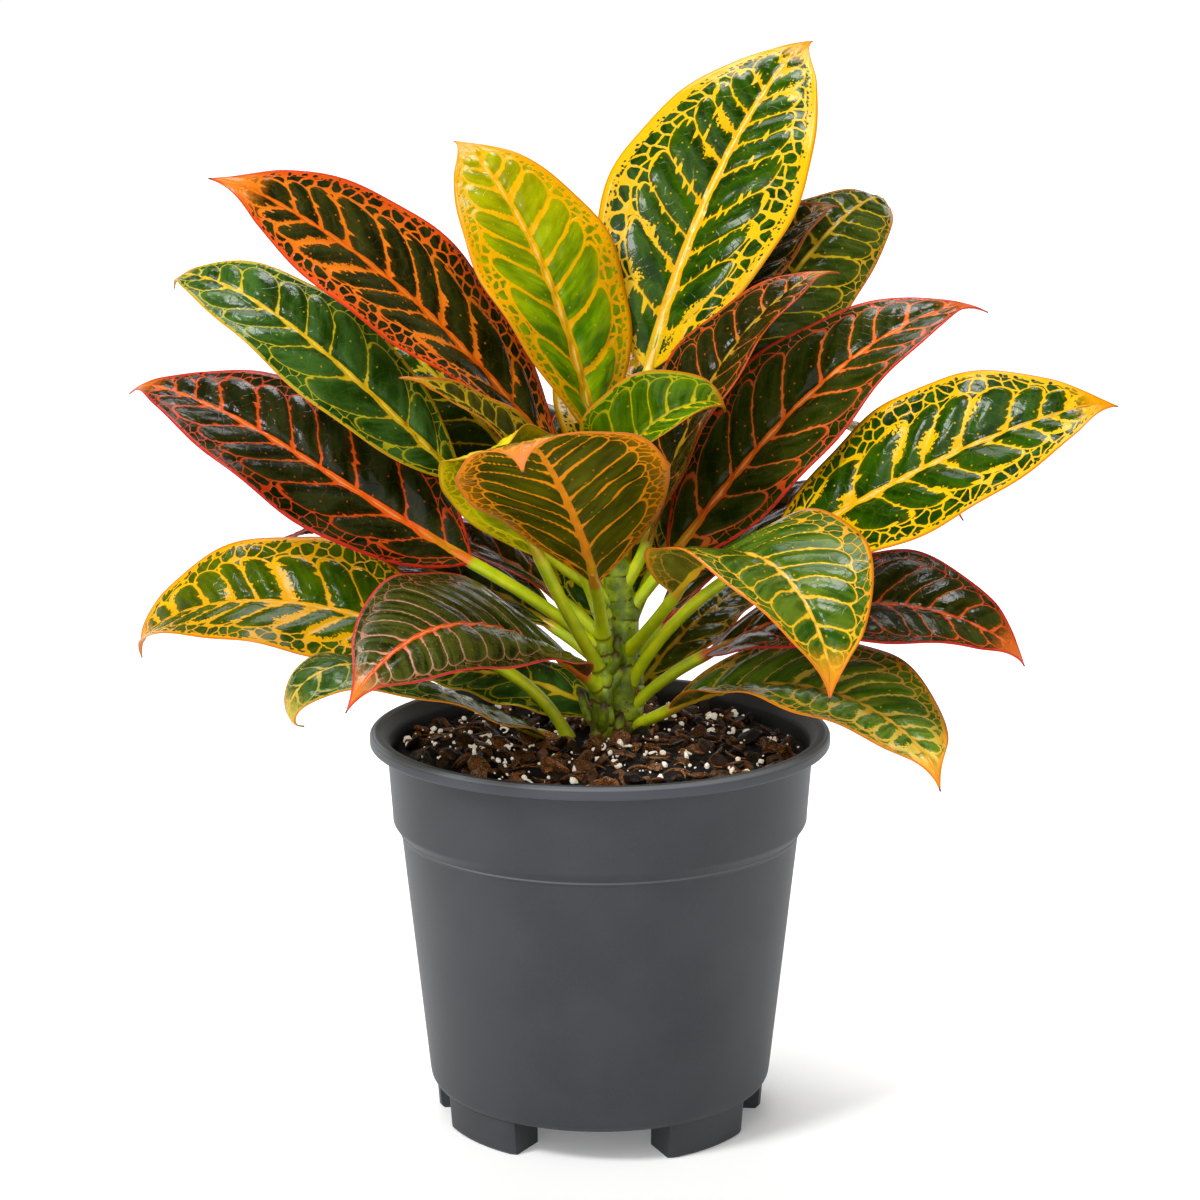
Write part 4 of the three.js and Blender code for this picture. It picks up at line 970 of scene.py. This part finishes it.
def foot_mesh(heading):
    """One foot: a slice of a low ring, a little narrower at the ground, sunk into the floor."""
    sunk = FOOT_HEIGHT + 1
    section = [(FOOT_INNER_RADIUS, 0), (FOOT_OUTER_RADIUS - 1.2, 0), (FOOT_OUTER_RADIUS - 0.2, 1),
               (BASE_RADIUS - 2.2, sunk), (FOOT_INNER_RADIUS, sunk)]
    rows = []
    for i in range(FOOT_SLICES + 1):
        turn = heading + FOOT_SWEEP * (i / FOOT_SLICES - 0.5)
        inset = 0.8 if i in (0, FOOT_SLICES) else 0
        rows += [polar(r - inset if r > FOOT_INNER_RADIUS else r, turn, h) for r, h in section]
    return rows, [face[::-1] for face in capped_faces(FOOT_SLICES + 1, len(section))]


# ---------------------------------------------------------------- potting mix
# how far out the top of the mix reaches on the pot's leaning wall
MIX_EDGE = (BAND_FOOT_RADIUS - WALL - CLEARANCE - 0.1 + (WALL_TOP_RADIUS - BAND_FOOT_RADIUS)
            * (SOIL_EDGE_HEIGHT - BAND_FOOT_HEIGHT) / (POT_HEIGHT - RIM_FACE - BAND_FOOT_HEIGHT))


def mound(x, y):
    share = np.minimum(np.hypot(x, y) / BAND_FOOT_RADIUS, 1)
    return (SOIL_EDGE_HEIGHT + SOIL_MOUND * (1 - share ** 2)
            + 0.7 * np.sin(np.asarray(x) / 9 + 1) * np.cos(np.asarray(y) / 11))


def earth_material():
    made, shader = material("mix_earth")
    place = object_place(shader)
    coarse, fine = noise(place, 0.35, 4.0), noise(place, 1.4, 4.0, 0.65)
    colour = layered("030100", (coarse.step(0.35, 0.7), "160b03"),
                     (fine.step(0.6, 0.75) * 0.6, "4c2c10"))
    paint(shader, colour, 0.9, coarse + fine * 0.5, 0.9)
    return made


def bark_material():
    made, shader = material("mix_bark")
    place = object_place(shader)
    tint = Number(attribute(shader, "tint"))
    offset = vector(tint * 90.0, tint * 37.0, tint * 53.0)
    place = linked(new_node(shader, "VectorMath"), {0: place, 1: offset})
    grain, fine = noise(place, 0.5, 5.0, 0.65), noise(place, 2.2, 3.0)
    colour = layered("180800", (tint, "b06424"), (grain.step(0.45, 0.64) * 0.94, "050200"),
                     (fine.step(0.54, 0.68) * 0.9 * tint, "ffd898"))
    paint(shader, colour, 0.24 + fine * 0.3, grain + fine * 0.3, 0.5, 0.35)
    return made


def grain_material():
    """White expanded mineral grains, pitted and a little stained, with a faint painted glow that keeps them
    light in shade.
    """
    made, shader = material("mix_grains")
    place = object_place(shader)
    pits = cells(place, 1.7, dimensions="3D")
    stain = noise(place, 0.6, 3.0)
    colour = layered(linear("fff6e6", 1), (stain.step(0.45, 0.7), linear("f0dcb8", 1)),
                     (pits.step(0.22, 0.05) * 0.3, linear("a89070", 1)))
    paint(shader, colour, 0.85, pits, 0.4)
    # painted light: the grains glow faintly so that they stay light under the leaves
    glow(shader, colour, GRAIN_PAINTED_GLOW)
    return made


def lump(random, radii, rough, rings=5, sides=8):
    """A closed irregular lump: points and faces about the origin."""
    points = [(0, 0, -1)]
    for i in range(1, rings):
        tilt = pi * i / rings - pi / 2
        for j in range(sides):
            turn = 2 * pi * (j + 0.5 * (i % 2)) / sides
            points.append((cos(tilt) * cos(turn), cos(tilt) * sin(turn), sin(tilt)))
    points = np.array(points + [(0, 0, 1)], float)
    points *= 1 + rough * random.uniform(-1, 1, (len(points), 1))
    points = np.sign(points) * np.abs(points) ** 0.8 * radii
    faces = [(0, 1 + (j + 1) % sides, 1 + j) for j in range(sides)]
    faces += grid_faces(rings - 1, sides, start=1, closed=True)
    last, top = 1 + (rings - 2) * sides, len(points) - 1
    faces += [(last + j, last + (j + 1) % sides, top) for j in range(sides)]
    return points, faces


def turned(points, angles):
    (cx, cy, cz), (sx, sy, sz) = np.cos(angles), np.sin(angles)
    about_x = np.array([[1, 0, 0], [0, cx, -sx], [0, sx, cx]])
    about_y = np.array([[cy, 0, sy], [0, 1, 0], [-sy, 0, cy]])
    about_z = np.array([[cz, -sz, 0], [sz, cz, 0], [0, 0, 1]])
    return points @ (about_z @ about_y @ about_x).T


def clear_of_stems(x, y, margin):
    return all(np.hypot(x - stem["path"][0][0], y - stem["path"][0][1]) > stem["radii"][0] + margin
               for stem in (MAIN_STEM, SIDE_SHOOT))


def spot(random, inset):
    """A random place on the mix, at least inset from its edge: how far out, x and y."""
    distance, heading = (MIX_EDGE - inset) * np.sqrt(random.uniform()), random.uniform(0, 2 * pi)
    return distance, distance * cos(heading), distance * sin(heading)


def make_earth():
    shape = Shape()
    top_rings = [(MIX_EDGE * (1 - i / SOIL_RINGS), 0) for i in range(SOIL_RINGS)]
    points, faces = revolve(pot_inside(CLEARANCE) + top_rings + [(0.02, 0)], SOIL_SIDES)
    top = points[:, 2] == 0
    flat = points[top] * (1, 1, 0)
    relief = wobble(flat, 9, 3) * 0.9 + wobble(flat, 4, 4) * 0.8 + wobble(flat, 2.2, 5) * 0.5
    rim = smooth(MIX_EDGE, MIX_EDGE - 6, np.hypot(flat[:, 0], flat[:, 1]))
    points[top, 2] = mound(flat[:, 0], flat[:, 1]) - 1.2 + relief * rim
    shape.add(points, faces)
    finish_piece(shape.build("potting_mix_earth", [earth_material()]), "potting_mix", "potting_mix")


def make_bark(random):
    bark = Shape()
    for _ in range(BARK_TRIES):
        distance, x, y = spot(random, 3)
        size = random.uniform(0.45, 1.0) ** 1.4
        radii = random.uniform((4, 2.6, 0.9), (7, 4.8, 1.9)) * size
        if not clear_of_stems(x, y, radii[0] * 0.6) or distance + radii[0] > MIX_EDGE - 0.5:
            continue
        points, faces = lump(random, radii, 0.22)
        points[:, 2] += 0.012 * points[:, 0] ** 2 * random.uniform(-1, 1)
        points = turned(points, random.uniform((-0.95, -0.95, 0), (0.95, 0.95, 2 * pi)))
        z = mound(x, y) + random.uniform(-2.4, 1.4)
        bark.add(points + (x, y, z), faces, tint=random.uniform() ** 1.6)
    finish_piece(bark.build("potting_mix_bark", [bark_material()], flat=True), "potting_mix")


def make_fibres(random):
    fibres = Shape()
    steps = np.linspace(-0.5, 0.5, 9)
    for _ in range(FIBRE_TRIES):
        _, x, y = spot(random, 10)
        if not clear_of_stems(x, y, 4):
            continue
        turn, bend, length = random.uniform((0, -1.6, 5), (2 * pi, 1.6, 14))
        line_x = x + length * steps * np.cos(turn + bend * steps)
        line_y = y + length * steps * np.sin(turn + bend * steps)
        height = mound(line_x, line_y) + 0.9 + 1.4 * np.sin(pi * (steps + 0.5)) * random.uniform(-0.3, 1)
        radii = random.uniform(0.25, 0.6) * (1 - 0.7 * np.abs(2 * steps) ** 3)
        fibres.add(*tube(np.stack([line_x, line_y, height], 1), radii, 6), tint=random.uniform(0.5, 1.0))
    finish_piece(fibres.build("potting_mix_fibres", [bark_material()]), "potting_mix")


def make_grains(random):
    """White grains, and among them a few thin strips that are curled into rings."""
    grains = Shape()
    for _ in range(CURL_TRIES):
        _, x, y = spot(random, 12)
        if not clear_of_stems(x, y, 6):
            continue
        reach, turns = random.uniform(0.9, 1.8), np.linspace(0, random.uniform(4.2, 5.8), 18)
        ring = np.stack([reach * np.cos(turns), reach * 0.8 * np.sin(turns), 0.15 * turns], 1)
        points, faces = tube(ring, np.full(18, 0.4) - 0.02 * np.abs(np.arange(18) - 9), 8)
        points = turned(points, random.uniform((-0.7, -0.7, 0), (0.7, 0.7, 2 * pi)))
        grains.add(points + (x, y, mound(x, y) + 1.2), faces)
    for _ in range(GRAIN_TRIES):
        _, x, y = spot(random, 3)
        radius = 0.3 + 1.0 * random.uniform() ** 2.6
        if not clear_of_stems(x, y, 1.5):
            continue
        points, faces = lump(random, radius * random.uniform(0.6, 1.4, 3), 0.24, 6)
        points = turned(points, random.uniform(0, 2 * pi, 3))
        grains.add(points + (x, y, mound(x, y) + random.uniform(0.2, 1.5)), faces)
    finish_piece(grains.build("potting_mix_grains", [grain_material()]), "potting_mix")


# ---------------------------------------------------------------- stems
def stem_material():
    """Green bark, brown and corky at the foot, with rings and specks where leaves have stood, and painted
    shade on its underside.
    """
    made, shader = material("stem_bark")
    place = object_place(shader)
    x, y, z = split(place)
    lines = noise(vector(x * 0.9, y * 0.9, z * 0.12), 1.0, 4.0)
    mottle = noise(place, 0.22, 3.0)
    specks = cells(place, 0.42, dimensions="3D")
    brown = (z + mottle * 26.0).step(166.0, 146.0)
    colour = layered(
        linear("627c04", 0.85), (mottle.step(0.35, 0.68), linear("a8be08", 0.85)),
        (lines.step(0.5, 0.75) * 0.4, "bcb81c"), (brown * 0.9, "5b3a1c"),
        # painted shade: the stem's downward side is darkened to a deeper green
        (specks.step(0.22, 0.1) * 0.7, "6b3a1a"), (painted_underside_shade(shader) * 0.6, "263204"),
        (Number(attribute(shader, "scar")).step(0.1, 0.7) * 0.9, "4a200e"))
    paint(shader, colour, 0.38 + mottle * 0.15 + brown * 0.25, lines + specks * 0.4, 0.3)
    return made


def bud_material():
    made, shader = material("bud_skin")
    place = object_place(shader)
    grain = noise(place, 1.5, 3.0)
    colour = mixed(grain.step(0.35, 0.7), "6a2a16", "a8641f")
    paint(shader, colour, 0.4 + grain * 0.2, grain, 0.2)
    return made


def make_stem(stem, node, materials, seed):
    path, radii = np.array(stem["path"], float), np.array(stem["radii"], float)
    heights = np.linspace(path[0, 2], path[-1, 2], STEM_RINGS)
    centres = [stem_centre(stem, height) for height in heights]
    radius = np.pad(np.interp(heights, path[:, 2], radii), 6, mode="edge")
    radius = np.convolve(radius, np.ones(13) / 13, mode="valid")
    turns = ring_turns(STEM_SIDES)
    grown = np.repeat(radius[:, None], STEM_SIDES, 1)
    scar = np.zeros_like(grown)
    shape = Shape()
    random = np.random.default_rng(seed)
    leaves = [one for one in LEAVES if one["stem"] is stem]
    old = [dict(at=h, heading=LEAF_TURN * i + seed) for i, h in enumerate(np.arange(134, 156, 4.5))]

    # a swelling below each leaf, past or present, with a ring-shaped scar round it
    for mark in leaves + old:
        turn = (turns - radians(mark["heading"]) + pi) % (2 * pi) - pi
        above = heights[:, None] - mark["at"]
        near = bell(turn, 0.75)
        grown += 0.5 * near * bell(above + 1.5, 3.0)
        grown += 1.1 * bell(turn, 0.42) * smooth(4, -1, above) * smooth(-20, -2, above)
        ring = bell(above + 3.4 + 0.9 * near, 0.45) * bell(turn, 1.5)
        grown -= 0.34 * ring
        scar = np.maximum(scar, ring)
    shape.add(*tube(centres, grown, STEM_SIDES), scar=scar.ravel())

    def stand_out(height, out, turn, points, faces):
        reach = np.interp(height, path[:, 2], radii) + out
        shape.add(points + stem_centre(stem, height) + polar(reach, turn, 0), faces, slot=1, scar=0.0)

    # a bud above each scar, and small brown beads along it
    for mark in leaves + old:
        heading = mark["heading"] + random.uniform(-14, 14)
        size = np.array([0.8, 0.9, 1.5]) * random.uniform(0.7, 1.2)
        stand_out(mark["at"] + 3.6, 0.15, heading, *lump(random, size, 0.08, 7, 10))
        for bead in range(-3, 4):
            height = mark["at"] - 3.2 + random.uniform(-0.5, 0.5)
            points, faces = lump(random, np.full(3, random.uniform(0.3, 0.55)), 0.1)
            turn = mark["heading"] + 19 * bead + random.uniform(-6, 6)
            stand_out(height, 0.35, turn, points, faces)

    # stumps of old leaf stalks, where no leaf is near
    steps = np.linspace(0, 1, 9)
    for index in range(STUMP_TRIES):
        low, turn = random.uniform(136, 172), LEAF_TURN * index + random.uniform(-12, 12) + seed
        if any(abs(one["at"] - low) < 9 and abs((one["heading"] - turn + 180) % 360 - 180) < 38
               for one in leaves):
            continue
        foot = stem_centre(stem, low)
        out = np.interp(low, path[:, 2], radii) - 1.5
        length = random.uniform(6, 13)
        line = [foot + polar(out + length * s * (1 - 0.35 * s), turn, length * (0.7 * s + 0.5 * s * s))
                for s in steps]
        thick = random.uniform(1.7, 2.3) * (1.25 - 0.35 * steps) * (1 - 0.6 * steps ** 12)
        shape.add(*tube(line, thick, STUMP_SIDES), scar=np.repeat(steps ** 5, STUMP_SIDES))
    finish_piece(shape.build(node + "_fine", materials), "stem", node)


# ---------------------------------------------------------------- studio
CAMERA_PLACE = (0, -1026, 408.5)
CAMERA_DIP = 11.75
CAMERA_FOCUS = 2860 / 1200
FLOOR_REACH = 300.0  # metres

# wide suns stand for large soft lamps, so that the floor is lit the same all over:
# name, azimuth, rise and spread in degrees, and power
LAMPS = (("key", -142, 48, 14, 1.9), ("top", 88, 76, 18, 1.6), ("front", -108, 40, 60, 1.4),
         ("back", 100, 58, 30, 0.9))


def make_camera():
    camera = bpy.data.cameras.new("camera")
    camera.sensor_width = 36
    camera.lens = CAMERA_FOCUS * camera.sensor_width
    camera.clip_start, camera.clip_end = 0.05, 900
    view = add_object("camera", camera)
    view.location = [v * MM for v in CAMERA_PLACE]
    view.rotation_euler = (radians(90 - CAMERA_DIP), 0, 0)
    bpy.context.scene.camera = view


def make_floor():
    """A white floor with a faint glow, which keeps it white in the plant's wide shade."""
    floor = bpy.data.meshes.new("floor")
    corners = [(x * FLOOR_REACH, y * FLOOR_REACH, 0) for x, y in ((-1, -1), (1, -1), (1, 1), (-1, 1))]
    floor.from_pydata(corners, [], [(0, 1, 2, 3)])
    made, shader = material("floor_paint")
    place = object_place(shader)
    colour = mixed(noise(place, 0.01), linear("f7f7f7", 1), linear("fbfbfb", 1))
    paint(shader, colour, 0.7)
    glow(shader, (1, 1, 1, 1), FLOOR_GLOW)
    floor.materials.append(made)
    add_object("floor", floor)


def make_light():
    world = bpy.data.worlds.new("studio")
    world.use_nodes = True
    sky = world.node_tree.nodes["Background"]
    sky.inputs["Color"].default_value = (1, 1, 1, 1)
    height = split(new_node(sky, "TexCoord").outputs["Generated"])[2]
    # white about the horizon and dim above, so that leaves don't mirror a white sky
    link(height.step(0.32, 0.24) * 0.86 + 0.15, sky.inputs["Strength"])
    bpy.context.scene.world = world
    bpy.context.scene.view_settings.view_transform = "Standard"
    for name, azimuth, rise, spread, power in LAMPS:
        lamp = bpy.data.lights.new(name, "SUN")
        lamp.angle, lamp.energy = radians(spread), power
        add_object(name, lamp).rotation_euler = (radians(90 - rise), 0, radians(azimuth + 90))


make_camera()
make_floor()
make_light()
make_pot()
make_earth()
mix_random = np.random.default_rng(MIX_SEED)
for make in (make_bark, make_fibres, make_grains):
    make(mix_random)
stem_materials = [stem_material(), bud_material()]
make_stem(MAIN_STEM, "main_stem", stem_materials, MAIN_STEM_SEED)
make_stem(SIDE_SHOOT, "side_shoot", stem_materials, SIDE_SHOOT_SEED)
make_leaves()

bpy.context.view_layer.update()
